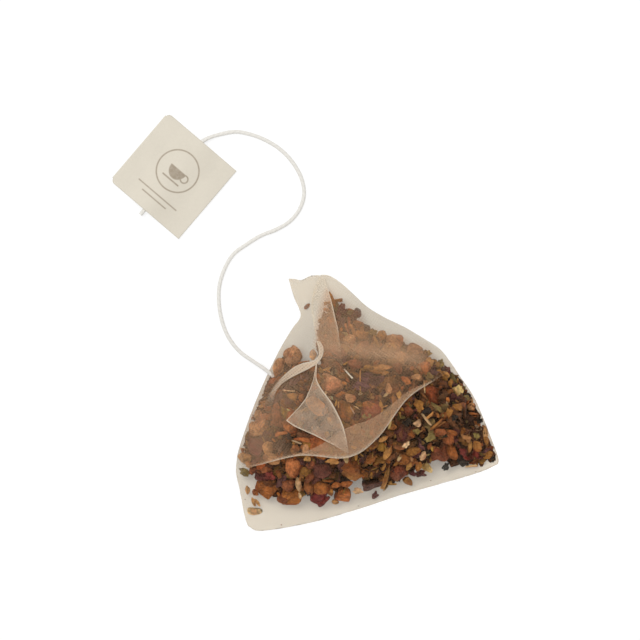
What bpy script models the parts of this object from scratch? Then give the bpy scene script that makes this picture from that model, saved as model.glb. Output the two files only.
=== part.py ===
"""A pyramid tea bag lying on one face: a see-through mesh pouch of dried fruit tea, its cotton string and its card tag.

Metres, with +Z up. The origin is under the middle of the pouch, on the table."""

import math

import bmesh
import bpy
import numpy as np
from mathutils import Vector
from mathutils.bvhtree import BVHTree

MM = 0.001

# The pouch: its size as it lies on the table, and the cloth it is folded from.
POUCH_WIDTH = 61.6 * MM
POUCH_DEPTH = 60.1 * MM
POUCH_HEIGHT = 15.2 * MM
CLOTH = 0.2 * MM
PLEAT_STEP = 0.8 * MM
PLEAT_RUN = 0.5 * MM
FLAP_LIFT = 0.5 * MM
STRIP_LIFT = 0.35 * MM
SEAM_WIDTH = 1.2 * MM
SEAM_LIFT = 0.5 * MM
LEAST_HOLLOW = 0.3 * MM
# How deep a layer is sunk into the sheet below it, as a share of the cloth, and the row where the hollow begins.
LAYER_SINK = 0.8
FIRST_HOLLOW_ROW = 0.35

# The string and the tag.
STRING_DIAMETER = 0.9 * MM
STRING_SPACING = 2.0 * MM
TAG_SIDE = 21.0 * MM
CARD = 0.25 * MM
TAG_CORNER_RADIUS = 1.1 * MM
TAG_BULGE_HALF_WIDTH = 3.2 * MM
TAG_STUB = 1.5 * MM

# Room left between one piece and the next.
CLEARANCE = 0.3 * MM
STRING_LIFT_IN_POUCH = 1.2 * CLOTH + CLEARANCE
STRING_MOUTH_REACH = 7.0 * MM
STRING_MOUTH_GAP = 0.9 * CLEARANCE
TAG_CHANNEL_OVERRUN = 2.1 * MM
TEA_EDGE_MARGIN = 0.9 * MM
TEA_PITCH_MARGIN = 0.35 * MM
ROOF_REACH = 0.8 * MM

# The top sheet of the pouch, as rows of (right, up the picture, height above the rim) in millimetres. Every row runs
# from the left edge to the right edge. The lower rows climb from the near edge to the pleat.
LOWER_ROWS = (
    ((-27.5, -29.7, 0), (-22.8, -30.0, 0), (-12.9, -28.0, 0), (-1.2, -24.6, 0),
     (7.8, -21.6, 0), (19.5, -18.3, 0), (26.6, -16.1, 0), (30.5, -14.3, 0)),
    ((-28.7, -26.4, 0), (-24.7, -27.2, 0.8), (-13.4, -25.5, 1.3), (-1.6, -22.7, 1.8),
     (6.8, -19.9, 2.2), (17.6, -16.1, 2.6), (25.2, -13.5, 2.4), (30.6, -13.0, 0)),
    ((-29.8, -20.6, 0), (-26.6, -21.7, 2.8), (-14.4, -22.2, 5.2), (-2.6, -20.1, 6.2),
     (5.4, -17.0, 7.0), (14.8, -12.3, 7.2), (22.6, -8.8, 6.2), (29.2, -9.0, 0)),
    ((-30.6, -17.0, 0), (-27.5, -17.7, 4.2), (-15.8, -16.8, 9.2), (-3.8, -16.6, 10.4),
     (3.8, -13.3, 10.6), (12.0, -6.0, 10.4), (19.1, -0.6, 7.8), (25.2, 0.8, 0)),
    ((-30.7, -15.4, 0), (-27.5, -15.9, 4.4), (-15.8, -13.7, 10.6), (-4.2, -14.7, 12.0),
     (2.8, -10.7, 12.2), (10.4, -1.7, 11.0), (16.7, 4.8, 7.2), (20.9, 7.4, 0)),
    ((-30.6, -14.0, 0), (-27.5, -14.8, 4.5), (-15.8, -11.9, 11.2), (-4.7, -12.6, 13.0),
     (1.9, -8.8, 13.0), (8.9, 0.6, 11.2), (14.8, 7.2, 6.4), (19.1, 10.4, 0)),
)
# The upper rows fall from behind the pleat to the far corner, where the edge runs out into a flat ear on the left.
UPPER_ROWS = (
    ((-30.0, -10.7, 0), (-27.5, -10.0, 4.4), (-16.9, -7.9, 11.8), (-5.6, -6.0, 14.0),
     (0.2, -2.7, 13.8), (7.8, 4.4, 11.0), (13.4, 9.6, 6.0), (17.2, 12.4, 0)),
    ((-27.1, -2.2, 0), (-24.9, -2.0, 4.2), (-17.6, -1.0, 10.6), (-8.5, 0.6, 13.0),
     (-1.6, 3.4, 12.8), (5.4, 8.6, 10.0), (10.8, 12.8, 5.0), (13.4, 15.0, 0)),
    ((-23.8, 5.7, 0), (-22.1, 5.6, 2.6), (-16.9, 6.0, 8.6), (-11.5, 7.0, 11.4),
     (-4.0, 9.1, 11.2), (2.4, 12.4, 8.6), (6.8, 15.9, 4.4), (8.7, 17.8, 0)),
    ((-20.5, 12.5, 0), (-19.1, 12.4, 1.8), (-15.3, 12.8, 6.2), (-11.5, 13.8, 8.8),
     (-5.9, 14.0, 9.0), (-1.2, 16.1, 7.2), (2.6, 19.0, 3.4), (4.2, 20.0, 0)),
    ((-17.6, 17.4, 0), (-16.6, 17.3, 1.0), (-14.8, 17.8, 3.2), (-12.9, 18.5, 5.4),
     (-7.8, 18.3, 6.6), (-3.5, 19.9, 5.4), (-0.9, 21.8, 2.6), (0.2, 22.4, 0)),
    ((-15.6, 20.6, 0), (-14.7, 21.0, 0.4), (-13.9, 21.6, 1.4), (-12.8, 22.3, 3.2),
     (-9.9, 22.5, 4.4), (-6.4, 23.4, 3.6), (-4.0, 24.8, 1.6), (-3.1, 25.4, 0)),
    ((-17.2, 25.0, 0), (-15.6, 24.8, 0), (-14.0, 24.5, 0.2), (-12.5, 24.9, 1.4),
     (-10.4, 25.2, 2.6), (-8.2, 25.8, 2.2), (-6.6, 27.0, 0.9), (-5.6, 27.7, 0)),
    ((-18.4, 29.2, 0), (-17.0, 29.1, 0), (-15.4, 28.9, 0), (-13.2, 29.9, 0),
     (-11.5, 30.0, 0), (-10.1, 30.1, 0), (-8.7, 29.8, 0), (-7.3, 29.0, 0)),
)
# The folded top corner: its hinge line over the pouch, and its free edge with the tip of the corner in it.
FLAP_HINGE = ((-11.6, 6.6), (-10.1, 3.4), (-8.2, -0.1), (-6.6, -3.6), (-5.4, -6.9), (-4.8, -11.6))
FLAP_EDGE = ((-12.4, 6.2), (-13.9, 1.8), (-16.2, -1.5), (-18.8, -3.6), (-12.0, -7.9), (-5.4, -11.8))
# The doubled strip below the ear, from its left fold line to its right one.
STRIP_LEFT = ((-11.9, 28.3), (-12.8, 25.3), (-13.2, 23.0), (-12.8, 18.9), (-11.9, 15.2))
STRIP_RIGHT = ((-10.4, 28.3), (-9.0, 25.0), (-8.4, 23.0), (-7.6, 19.6), (-6.8, 15.4))
# The welded seam's line over the top sheet.
SEAM_LINE = ((-11.2, 13.8), (-10.8, 11.9), (-11.5, 8.6), (-15.8, 7.0), (-19.3, 5.1), (-21.4, 1.6))

# The string's route, from its end inside the pouch to the edge of the tag, in millimetres.
STRING_INSIDE = ((-21.9, 6.1), (-23.4, 7.5))
STRING_ROUTE = (
    (-26.4, 9.6), (-29.9, 12.1), (-32.5, 15.4), (-34.1, 19.4), (-34.8, 23.7), (-34.7, 27.4), (-33.6, 31.2),
    (-31.3, 35.0), (-28.2, 37.3), (-24.7, 39.4), (-21.4, 40.7), (-18.1, 42.7), (-15.8, 45.6), (-14.8, 49.1),
    (-15.3, 52.4), (-17.2, 56.1), (-20.2, 59.4), (-24.0, 61.8), (-27.8, 63.2), (-30.8, 63.7), (-34.1, 63.2),
)
TAG_CENTRE = (-45.5, 53.3)
TAG_TURN_DEGREES = 49.5

# The tea: where each lump lies, what lies on top there, and whether a second piece lies under it.
TEA = (
    (-17.4, 10.7, "fruit", False), (-17.9, 4.4, "leaf", False), (-24.0, -4.8, "fruit", False),
    (-25.6, -10.7, "petal", False), (-19.5, -10.2, "petal", True), (-17.2, -4.1, "fruit", True),
    (-16.9, -15.2, "fruit", True), (-23.5, -20.1, "fruit", False), (-17.6, -21.3, "fruit", False),
    (-10.4, -15.4, "petal", True), (-11.1, -21.3, "fruit", False), (-4.0, -15.4, "fruit", True),
    (1.4, -18.7, "petal", False), (-5.8, -21.0, "fruit", False), (7.3, -15.9, "fruit", False),
    (3.1, -12.3, "leaf", True), (12.9, -14.2, "leaf", False), (18.1, -11.2, "fruit", False),
    (24.0, -11.2, "petal", False), (-11.5, -9.0, "fruit", True), (-5.2, -8.1, "petal", True),
    (-5.6, -1.7, "fruit", True), (0.9, -2.0, "fruit", True), (8.7, -7.2, "fruit", True),
    (14.6, -5.0, "leaf", False), (20.2, -4.1, "fruit", False), (-11.8, -0.6, "leaf", True),
    (-8.0, 4.6, "fruit", True), (-1.2, 5.3, "petal", True), (5.4, 3.9, "fruit", True),
    (15.1, 2.0, "fruit", False), (20.9, 2.5, "leaf", False), (10.8, 11.9, "fruit", False),
    (5.2, 11.9, "fruit", False), (-1.4, 12.4, "fruit", True), (-7.3, 12.1, "leaf", True),
    (-2.3, 17.9, "fruit", False), (-6.1, 19.0, "petal", False), (-8.0, 23.9, "stem", False),
)
TEA_KINDS = {
    "fruit": {"thickness": 6.2 * MM, "colour": (0.32, 0.12, 0.035), "roughness": 0.6},
    "petal": {"thickness": 3.4 * MM, "colour": (0.075, 0.028, 0.026), "roughness": 0.7},
    "leaf": {"thickness": 3.0 * MM, "colour": (0.10, 0.085, 0.03), "roughness": 0.75},
    "stem": {"thickness": 3.0 * MM, "colour": (0.36, 0.23, 0.11), "roughness": 0.7},
}

# The angle in radians from one tea piece to the next, and from the lower piece of a pair to the upper one.
PIECE_TURN = 2.4
PAIR_TURN = 1.1

COLUMNS = 36
LOWER_COUNT = 15
UPPER_COUNT = 19
TUBE_SIDES = 8
MOUTH_RINGS = 5


def clear_scene():
    for item in list(bpy.data.objects):
        bpy.data.objects.remove(item, do_unlink=True)


def material(name, colour, roughness, alpha=1.0):
    made = bpy.data.materials.new(name)
    made.use_nodes = True
    shader = made.node_tree.nodes["Principled BSDF"]
    shader.inputs["Base Color"].default_value = (*colour, 1.0)
    shader.inputs["Roughness"].default_value = roughness
    shader.inputs["Metallic"].default_value = 0.0
    shader.inputs["Alpha"].default_value = alpha
    made.diffuse_color = (*colour, alpha)
    return made


def new_object(name, vertices, faces, surface=None, smooth=False):
    mesh = bpy.data.meshes.new(name)
    mesh.from_pydata([tuple(map(float, vertex)) for vertex in vertices], [], faces)
    tidy = bmesh.new()
    tidy.from_mesh(mesh)
    bmesh.ops.recalc_face_normals(tidy, faces=tidy.faces)
    tidy.to_mesh(mesh)
    tidy.free()
    if smooth:
        mesh.shade_smooth()
    made = bpy.data.objects.new(name, mesh)
    bpy.context.scene.collection.objects.link(made)
    if surface:
        mesh.materials.append(surface)
    return made


def cutter(made):
    made.hide_render = True
    made.display_type = "WIRE"
    return made


def boolean(target, other, operation):
    step = target.modifiers.new(f"{operation.lower()} {other.name}", "BOOLEAN")
    step.operation = operation
    step.object = other
    step.solver = "EXACT"


def through(knots, values, at):
    """A smooth curve through values at knots, read at the places in at."""
    knots = np.asarray(knots, float)
    values = np.asarray(values, float)
    at = np.asarray(at, float)
    slopes = np.gradient(values, knots, axis=0)
    left = np.clip(np.searchsorted(knots, at, side="right") - 1, 0, len(knots) - 2)
    span = (knots[left + 1] - knots[left]).reshape((-1,) + (1,) * (values.ndim - 1))
    t = (at - knots[left]).reshape(span.shape) / span
    return (
        (2 * t**3 - 3 * t**2 + 1) * values[left]
        + (t**3 - 2 * t**2 + t) * span * slopes[left]
        + (3 * t**2 - 2 * t**3) * values[left + 1]
        + (t**3 - t**2) * span * slopes[left + 1]
    )


def lengths(points):
    return np.concatenate([[0.0], np.cumsum(np.linalg.norm(np.diff(points, axis=0), axis=1))])


def grid_ring(rows, columns):
    """The indices round the edge of a grid of rows by columns."""
    near = list(range(columns))
    right = [r * columns + columns - 1 for r in range(1, rows)]
    far = [(rows - 1) * columns + c for c in range(columns - 2, -1, -1)]
    left = [r * columns for r in range(rows - 2, 0, -1)]
    return near + right + far + left


def grid_faces(rows, columns, first=0):
    return [
        (first + r * columns + c, first + r * columns + c + 1, first + (r + 1) * columns + c + 1,
         first + (r + 1) * columns + c)
        for r in range(rows - 1)
        for c in range(columns - 1)
    ]


def solid_over_floor(name, top, floor, surface=None):
    """A closed solid under a grid of points, with upright sides and one flat floor."""
    rows, columns = top.shape[:2]
    vertices = top.reshape(-1, 3)
    ring = grid_ring(rows, columns)
    feet = vertices[ring].copy()
    feet[:, 2] = floor
    start = len(vertices)
    count = len(ring)
    faces = grid_faces(rows, columns)
    faces += [
        (ring[i], ring[(i + 1) % count], start + (i + 1) % count, start + i) for i in range(count)
    ]
    faces.append(tuple(range(start, start + count)))
    return new_object(name, np.vstack([vertices, feet]), faces, surface)


def solid_between(name, top, bottom, surface=None):
    """A closed solid between two grids of points of the same size."""
    rows, columns = top.shape[:2]
    start = rows * columns
    ring = grid_ring(rows, columns)
    count = len(ring)
    faces = grid_faces(rows, columns) + grid_faces(rows, columns, start)
    faces += [
        (ring[i], ring[(i + 1) % count], start + ring[(i + 1) % count], start + ring[i])
        for i in range(count)
    ]
    return new_object(name, np.vstack([top.reshape(-1, 3), bottom.reshape(-1, 3)]), faces, surface)


class TopSheet:
    """The pouch's top sheet, as a function of u from left to right and v from the near edge to the far corner."""

    def __init__(self):
        lower = np.array(LOWER_ROWS, float)
        upper = np.array(UPPER_ROWS, float)
        both = np.concatenate([lower, upper])
        least = both.min(axis=(0, 1))
        most = both.max(axis=(0, 1))
        middle = (least + most) / 2
        self.scale = np.array((POUCH_WIDTH, POUCH_DEPTH)) / (most - least)[:2]
        self.middle = middle[:2]
        self.rim = 2 * CLOTH
        rise = (POUCH_HEIGHT - self.rim - PLEAT_STEP) / most[2]
        for rows in (lower, upper):
            rows[..., :2] = (rows[..., :2] - self.middle) * self.scale
            rows[..., 2] = rows[..., 2] * rise + self.rim
        crest = lower[-1].copy()
        taper = np.sin(np.linspace(0.0, math.pi, len(crest))) ** 0.5
        crest[:, 1] += PLEAT_RUN
        crest[:, 2] += PLEAT_STEP * taper
        self.stations = np.linspace(0.0, 1.0, len(crest))
        self.lower = lower
        self.upper = np.concatenate([crest[None], upper])
        self.pleat = len(lower) - 1.0
        self.far = self.pleat + len(self.upper) - 1.0

    def row(self, u, v, above_pleat):
        rows = self.upper if above_pleat else self.lower
        start = self.pleat if above_pleat else 0.0
        drawn = through(self.stations, rows.transpose(1, 0, 2), u)
        knots = start + np.arange(len(rows))
        points = through(knots, drawn.transpose(1, 0, 2), [v])[0]
        points[:, 2] = np.maximum(points[:, 2], self.rim)
        return points

    def levels(self):
        low = [(v, False) for v in np.linspace(0.0, self.pleat, LOWER_COUNT)]
        high = [(v, True) for v in np.linspace(self.pleat, self.far, UPPER_COUNT)]
        return low + high

    def outer(self):
        u = np.linspace(0.0, 1.0, COLUMNS)
        return np.array([self.row(u, v, above) for v, above in self.levels()])

    def hollow(self):
        """The roof of the hollow, wherever the pouch is tall enough to hold one."""
        probe = np.linspace(0.0, 1.0, 400)
        rows = []
        for v, above in [(FIRST_HOLLOW_ROW, False)] + self.levels():
            if v < FIRST_HOLLOW_ROW:
                continue
            tall = np.flatnonzero(self.row(probe, v, above)[:, 2] - 2 * CLOTH >= LEAST_HOLLOW)
            if len(tall) < len(probe) // 8:
                continue
            u = np.linspace(probe[tall[0]], probe[tall[-1]], COLUMNS)
            points = self.row(u, v, above)
            points[:, 2] = np.maximum(points[:, 2] - CLOTH, CLOTH + LEAST_HOLLOW)
            rows.append(points)
        return np.array(rows)

    def plan(self, points):
        """Places given in millimetres on the photograph's pouch, on this pouch."""
        return (np.array(points, float) - self.middle) * self.scale


def tree_over(grid):
    rows, columns = grid.shape[:2]
    return BVHTree.FromPolygons([Vector(p) for p in grid.reshape(-1, 3)], grid_faces(rows, columns))


def heights(tree, places, missing):
    found = []
    for x, y in places:
        hit = tree.ray_cast(Vector((x, y, 1.0)), Vector((0, 0, -1)))[0]
        found.append(hit.z if hit else missing)
    return np.array(found)


def patch(name, tree, left, right, along, across, lift):
    """A layer of cloth over the top sheet between two lines, sunk a little into the sheet."""
    shares = [lengths(line) / lengths(line)[-1] for line in (left, right)]
    knots = np.unique(np.round(np.concatenate([np.linspace(0, 1, along), *shares]), 3))
    edges = [
        np.column_stack([np.interp(knots, far, line[:, axis]) for axis in range(2)])
        for far, line in zip(shares, (left, right))
    ]
    share = np.linspace(0.0, 1.0, across)[None, :, None]
    plan = edges[0][:, None] * (1 - share) + edges[1][:, None] * share
    under = heights(tree, plan.reshape(-1, 2), 2 * CLOTH).reshape(plan.shape[:2])
    top = np.dstack([plan, under + lift])
    bottom = np.dstack([plan, under - CLOTH * LAYER_SINK])
    return cutter(solid_between(name, top, bottom))


def seam(name, tree, line, width, lift):
    step = np.gradient(line, axis=0)
    side = np.column_stack([-step[:, 1], step[:, 0]])
    side /= np.linalg.norm(side, axis=1)[:, None]
    return patch(name, tree, line + side * width / 2, line - side * width / 2, 12, 3, lift)


def string_line(sheet):
    """The string's centre line: out of the pouch, over the table and through the tag."""
    radius = STRING_DIAMETER / 2
    inside = sheet.plan(STRING_INSIDE)
    shift = inside[-1] - np.array(STRING_INSIDE[-1]) * MM
    route = np.array(STRING_ROUTE) * MM
    ease = np.linspace(1.0, 0.0, len(route))[:, None] ** 2
    route = route + shift * ease
    angle = math.radians(TAG_TURN_DEGREES)
    way = -np.array((math.cos(angle), math.sin(angle)))
    centre = np.array(TAG_CENTRE) * MM
    through_tag = np.array(
        [centre + way * reach for reach in np.linspace(-TAG_SIDE / 2 - radius, TAG_SIDE / 2 + TAG_STUB, 6)]
    )
    in_pouch = STRING_LIFT_IN_POUCH + radius
    in_tag = CARD + CLEARANCE + radius
    flat = np.vstack([inside, route, through_tag])
    level = np.concatenate(
        [[in_pouch] * 2, [(in_pouch + radius) / 2], [radius] * (len(route) - 1), [in_tag] * len(through_tag)]
    )
    points = np.column_stack([flat, level])
    far = lengths(points)
    count = int(round(far[-1] / STRING_SPACING)) + 1
    drawn = through(far, points, np.linspace(0.0, far[-1], count))
    drawn[:, 2] = np.maximum(drawn[:, 2], radius)
    return drawn


def string_object(line, surface):
    data = bpy.data.curves.new("string", "CURVE")
    data.dimensions = "3D"
    data.bevel_depth = STRING_DIAMETER / 2
    data.bevel_resolution = 2
    data.use_fill_caps = True
    spline = data.splines.new("POLY")
    spline.points.add(len(line) - 1)
    for point, place in zip(spline.points, line):
        point.co = (*place, 1.0)
    data.materials.append(surface)
    made = bpy.data.objects.new("string", data)
    bpy.context.scene.collection.objects.link(made)
    return made


def tube(name, line, radius):
    """A closed tube along a line, for cutting."""
    sides = TUBE_SIDES
    way = np.gradient(line, axis=0)
    way /= np.linalg.norm(way, axis=1)[:, None]
    side = np.cross(way, (0.0, 0.0, 1.0))
    side /= np.linalg.norm(side, axis=1)[:, None]
    up = np.cross(side, way)
    turn = np.arange(sides) * 2 * math.pi / sides + math.pi / sides
    rings = (
        line[:, None]
        + radius * np.cos(turn)[None, :, None] * side[:, None]
        + radius * np.sin(turn)[None, :, None] * up[:, None]
    )
    faces = [
        (r * sides + s, r * sides + (s + 1) % sides, (r + 1) * sides + (s + 1) % sides, (r + 1) * sides + s)
        for r in range(len(line) - 1)
        for s in range(sides)
    ]
    faces.append(tuple(range(sides)))
    faces.append(tuple((len(line) - 1) * sides + s for s in range(sides)))
    return cutter(new_object(name, rings.reshape(-1, 3), faces))


def make_tag(surface):
    """One folded square of card: two leaves glued flat, with a low channel between them for the string. The corners at
    the fold are rounded."""
    half = TAG_SIDE / 2
    channel = STRING_DIAMETER + 2 * CLEARANCE
    corner = TAG_CORNER_RADIUS * (1 - np.cos(np.linspace(0.0, math.pi / 2, 5)))
    across = np.unique(np.round(np.concatenate([
        half - corner,
        np.linspace(-TAG_BULGE_HALF_WIDTH, TAG_BULGE_HALF_WIDTH, 11),
        np.linspace(-half, half - TAG_CORNER_RADIUS, 7),
    ]), 7))
    depth = np.clip(TAG_CORNER_RADIUS - (half - across), 0.0, TAG_CORNER_RADIUS)
    reach = half - TAG_CORNER_RADIUS + np.sqrt(TAG_CORNER_RADIUS**2 - depth**2)
    share = np.linspace(-1.0, 1.0, 7)
    bulge = np.clip(1 - np.abs(across) / TAG_BULGE_HALF_WIDTH, 0.0, 1.0)
    bulge = channel * (3 * bulge**2 - 2 * bulge**3)
    top = np.zeros((len(across), len(share), 3))
    top[..., 0] = reach[:, None] * share[None, :]
    top[..., 1] = across[:, None]
    top[..., 2] = (2 * CARD + bulge)[:, None]
    tag = solid_over_floor("tag", top, 0.0, surface)
    end = half + TAG_CHANNEL_OVERRUN
    line = np.array([(-end, 0.0, CARD + channel / 2), (end, 0.0, CARD + channel / 2)])
    hole = tube("tag_channel", line, channel / 2 / math.cos(math.pi / TUBE_SIDES))
    boolean(tag, hole, "DIFFERENCE")
    for made in (tag, hole):
        made.location = (*(np.array(TAG_CENTRE) * MM), 0.0)
        made.rotation_euler = (0.0, 0.0, math.radians(TAG_TURN_DEGREES))
    return tag


def make_pouch(sheet, line, surface):
    outer = sheet.outer()
    tree = tree_over(outer)
    pouch = solid_over_floor("pouch", outer, 0.0, surface)
    layers = (
        patch("flap_layer", tree, sheet.plan(FLAP_EDGE), sheet.plan(FLAP_HINGE), 9, 5, FLAP_LIFT),
        patch("strip_layer", tree, sheet.plan(STRIP_LEFT), sheet.plan(STRIP_RIGHT), 8, 4, STRIP_LIFT),
        seam("seam_layer", tree, sheet.plan(SEAM_LINE), SEAM_WIDTH, SEAM_LIFT),
    )
    for layer in layers:
        boolean(pouch, layer, "UNION")
    hollow = cutter(solid_over_floor("hollow", sheet.hollow(), CLOTH))
    boolean(pouch, hollow, "DIFFERENCE")
    at = np.linspace(0.0, STRING_MOUTH_REACH, MOUTH_RINGS)
    mouth = np.column_stack([np.interp(at, lengths(line), line[:, axis]) for axis in range(3)])
    mouth[:, 2] = line[0, 2]
    boolean(pouch, tube("string_mouth", mouth, STRING_DIAMETER / 2 + STRING_MOUTH_GAP), "DIFFERENCE")
    return pouch


def lump(seed):
    """An uneven block: a ball drawn out towards its corners, with shallow dents."""
    rng = np.random.default_rng(seed)
    ball = bmesh.new()
    bmesh.ops.create_icosphere(ball, subdivisions=2, radius=1.0)
    points = np.array([vertex.co for vertex in ball.verts])
    faces = [tuple(vertex.index for vertex in face.verts) for face in ball.faces]
    ball.free()
    boxy = (np.abs(points) ** 4).sum(axis=1) ** -0.25
    dents = sum(0.06 * np.sin(points @ rng.normal(0.0, 2.2, 3) + rng.uniform(0, 6)) for _ in range(3))
    return points * (0.5 * boxy + 0.5 + dents)[:, None], faces


def flake(seed):
    """A thin curled flake, pointed at both ends."""
    rng = np.random.default_rng(seed)
    along, across = 8, 5
    s = np.linspace(-1.0, 1.0, along)[:, None] * np.ones(across)
    t = np.linspace(-1.0, 1.0, across)[None, :] * (1.02 - 0.85 * s**2)
    curl = 0.45 * t**2 + 0.3 * np.sin(2.4 * s + rng.uniform(0, 3)) + 0.12 * np.sin(5 * t + 4 * s)
    top = np.dstack([s, t * rng.uniform(0.6, 0.85), curl])
    bottom = top.copy()
    bottom[..., 2] -= 0.5
    rows, columns = top.shape[:2]
    start = rows * columns
    ring = grid_ring(rows, columns)
    count = len(ring)
    faces = grid_faces(rows, columns) + grid_faces(rows, columns, start)
    faces += [
        (ring[i], ring[(i + 1) % count], start + ring[(i + 1) % count], start + ring[i]) for i in range(count)
    ]
    return np.vstack([top.reshape(-1, 3), bottom.reshape(-1, 3)]), faces


def stick(seed):
    """A short bent twig that thins towards one end."""
    rng = np.random.default_rng(seed)
    rings, sides = 6, 6
    s = np.linspace(-1.0, 1.0, rings)
    turn = np.arange(sides) * 2 * math.pi / sides
    wide = 0.28 - 0.1 * s
    bend = 0.2 * np.cos(1.6 * s + rng.uniform(0, 2))
    points = np.array([
        (s[i], bend[i] + wide[i] * math.cos(a), wide[i] * math.sin(a)) for i in range(rings) for a in turn
    ])
    faces = [
        (r * sides + k, r * sides + (k + 1) % sides, (r + 1) * sides + (k + 1) % sides, (r + 1) * sides + k)
        for r in range(rings - 1)
        for k in range(sides)
    ]
    faces.append(tuple(range(sides)))
    faces.append(tuple((rings - 1) * sides + k for k in range(sides)))
    return points, faces


SHAPES = {"fruit": lump, "petal": flake, "leaf": flake, "stem": stick}


def room_round(place, others, ring, line):
    """The widest a piece may be from its middle, clear of its neighbours, the pouch's edge and the string."""
    gaps = np.linalg.norm(others - place, axis=1)
    beside = np.sort(gaps)[1] / 2 - TEA_PITCH_MARGIN
    edge = np.linalg.norm(ring - place, axis=1).min() - TEA_EDGE_MARGIN
    string = np.linalg.norm(line[:, :2] - place, axis=1).min() - STRING_DIAMETER / 2 - CLEARANCE
    return min(beside, edge, string)


def low_roof(tree, places):
    """The lowest that the pouch's inner face comes within a short reach of each place."""
    near = ROOF_REACH * np.array(((0, 0), (1, 0), (-1, 0), (0, 1), (0, -1)))
    return np.min([heights(tree, places + shift, CLOTH + LEAST_HOLLOW) for shift in near], axis=0)


def set_piece(points, angle, place, reach, thickness, level, roof):
    """The piece turned and scaled to its reach. It hangs its thickness under the roof, or stands on the floor below
    such a piece, or alone on the floor."""
    spin = np.array(((math.cos(angle), -math.sin(angle)), (math.sin(angle), math.cos(angle))))
    placed = points.copy()
    placed[:, :2] = placed[:, :2] @ spin.T
    placed[:, :2] *= reach / np.linalg.norm(placed[:, :2], axis=1).max()
    placed[:, :2] += place
    share = (placed[:, 2] - placed[:, 2].min()) / np.ptp(placed[:, 2])
    floor = CLOTH + CLEARANCE
    ceiling = low_roof(roof, placed[:, :2]) - CLEARANCE
    room = np.maximum(ceiling - floor, 3 * CLEARANCE)
    upper = np.minimum(thickness, (room - CLEARANCE) / 2)
    if level == "top":
        placed[:, 2] = floor + room - upper + share * upper
    elif level == "under":
        placed[:, 2] = floor + share * (room - upper - CLEARANCE)
    else:
        placed[:, 2] = floor + share * room
    return placed


def make_tea(sheet, line, surfaces):
    roof_grid = sheet.hollow()
    roof = tree_over(roof_grid)
    rows, columns = roof_grid.shape[:2]
    ring = roof_grid.reshape(-1, 3)[grid_ring(rows, columns)][:, :2]
    places = sheet.plan([site[:2] for site in TEA])
    counts = dict.fromkeys(TEA_KINDS, 0)
    made = []
    for index, (_, _, kind, doubled) in enumerate(TEA):
        place = places[index]
        reach = room_round(place, places, ring, line)
        filler = "fruit" if index % 3 else "petal"
        stack = [(filler, "under"), (kind, "top")] if doubled else [(kind, "alone")]
        thickness = TEA_KINDS[kind]["thickness"]
        for layer, (name, level) in enumerate(stack):
            points, faces = SHAPES[name](index * 2 + layer + 1)
            angle = index * PIECE_TURN + layer * PAIR_TURN
            placed = set_piece(points, angle, place, reach, thickness, level, roof)
            counts[name] += 1
            title = f"{name}_{counts[name]:02d}"
            made.append(new_object(title, placed, faces, surfaces[name], smooth=name != "leaf"))
    return made


def main():
    clear_scene()
    cloth = material("mesh_cloth", (0.83, 0.79, 0.70), 0.75, alpha=0.35)
    cotton = material("cotton_string", (0.85, 0.82, 0.79), 0.85)
    card = material("tag_card", (0.74, 0.68, 0.56), 0.8)
    surfaces = {name: material(f"dried_{name}", kind["colour"], kind["roughness"]) for name, kind in TEA_KINDS.items()}
    sheet = TopSheet()
    line = string_line(sheet)
    make_pouch(sheet, line, cloth)
    string_object(line, cotton)
    make_tag(card)
    make_tea(sheet, line, surfaces)


main()
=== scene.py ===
"""A pyramid tea bag on a table: a see-through mesh pouch of dried fruit tea, its cotton string and its tag.

Everything is in metres, in the row frame: +Z up, the origin on the table under the middle of the pouch."""

import math

import bmesh
import bpy
import numpy as np
from bpy.props import FloatProperty, FloatVectorProperty, IntProperty, PointerProperty
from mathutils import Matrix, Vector


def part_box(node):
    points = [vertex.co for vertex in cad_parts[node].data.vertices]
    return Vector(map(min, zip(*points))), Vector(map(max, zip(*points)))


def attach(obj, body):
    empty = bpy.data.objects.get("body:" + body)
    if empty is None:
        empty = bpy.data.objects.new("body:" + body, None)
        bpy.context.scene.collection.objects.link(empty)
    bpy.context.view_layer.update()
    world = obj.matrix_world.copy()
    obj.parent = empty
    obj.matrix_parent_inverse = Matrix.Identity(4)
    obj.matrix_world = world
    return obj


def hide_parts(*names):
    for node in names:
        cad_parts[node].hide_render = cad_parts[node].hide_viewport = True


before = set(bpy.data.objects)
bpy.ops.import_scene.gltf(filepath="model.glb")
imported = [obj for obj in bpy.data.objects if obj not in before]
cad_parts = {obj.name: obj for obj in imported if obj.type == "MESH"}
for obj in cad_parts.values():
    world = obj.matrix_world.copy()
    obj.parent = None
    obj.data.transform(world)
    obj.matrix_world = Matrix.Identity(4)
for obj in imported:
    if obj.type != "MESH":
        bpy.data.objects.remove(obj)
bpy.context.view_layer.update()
POUCH_BOX = [np.array(corner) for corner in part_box("pouch")]

bl_info = {
    "name": "Pyramid Tea Bag",
    "version": (1, 0, 0),
    "blender": (4, 5, 0),
    "location": "View3D > Sidebar > Tea Bag",
    "description": "Builds a mesh pyramid tea bag with its dried fruit filling, string and card tag",
    "category": "Object",
}

MM = 0.001

# The picture is square, and the frame's origin lies at this place in it, counted from its upper left corner.
PICTURE_SIDE = 640
PIXELS_PER_METRE = 4250.0
ORIGIN_IN_PICTURE = (367.0, 402.6)

# The table's own grey, the grey and the glow that the camera sees on it, and the lamp's place and width.
TABLE_GREY = 0.8
SEEN_GREY = 0.35
SEEN_GLOW = 0.72
LAMP_PLACE = (-0.20, 0.25, 0.60)
LAMP_WIDTH = 0.35

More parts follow.
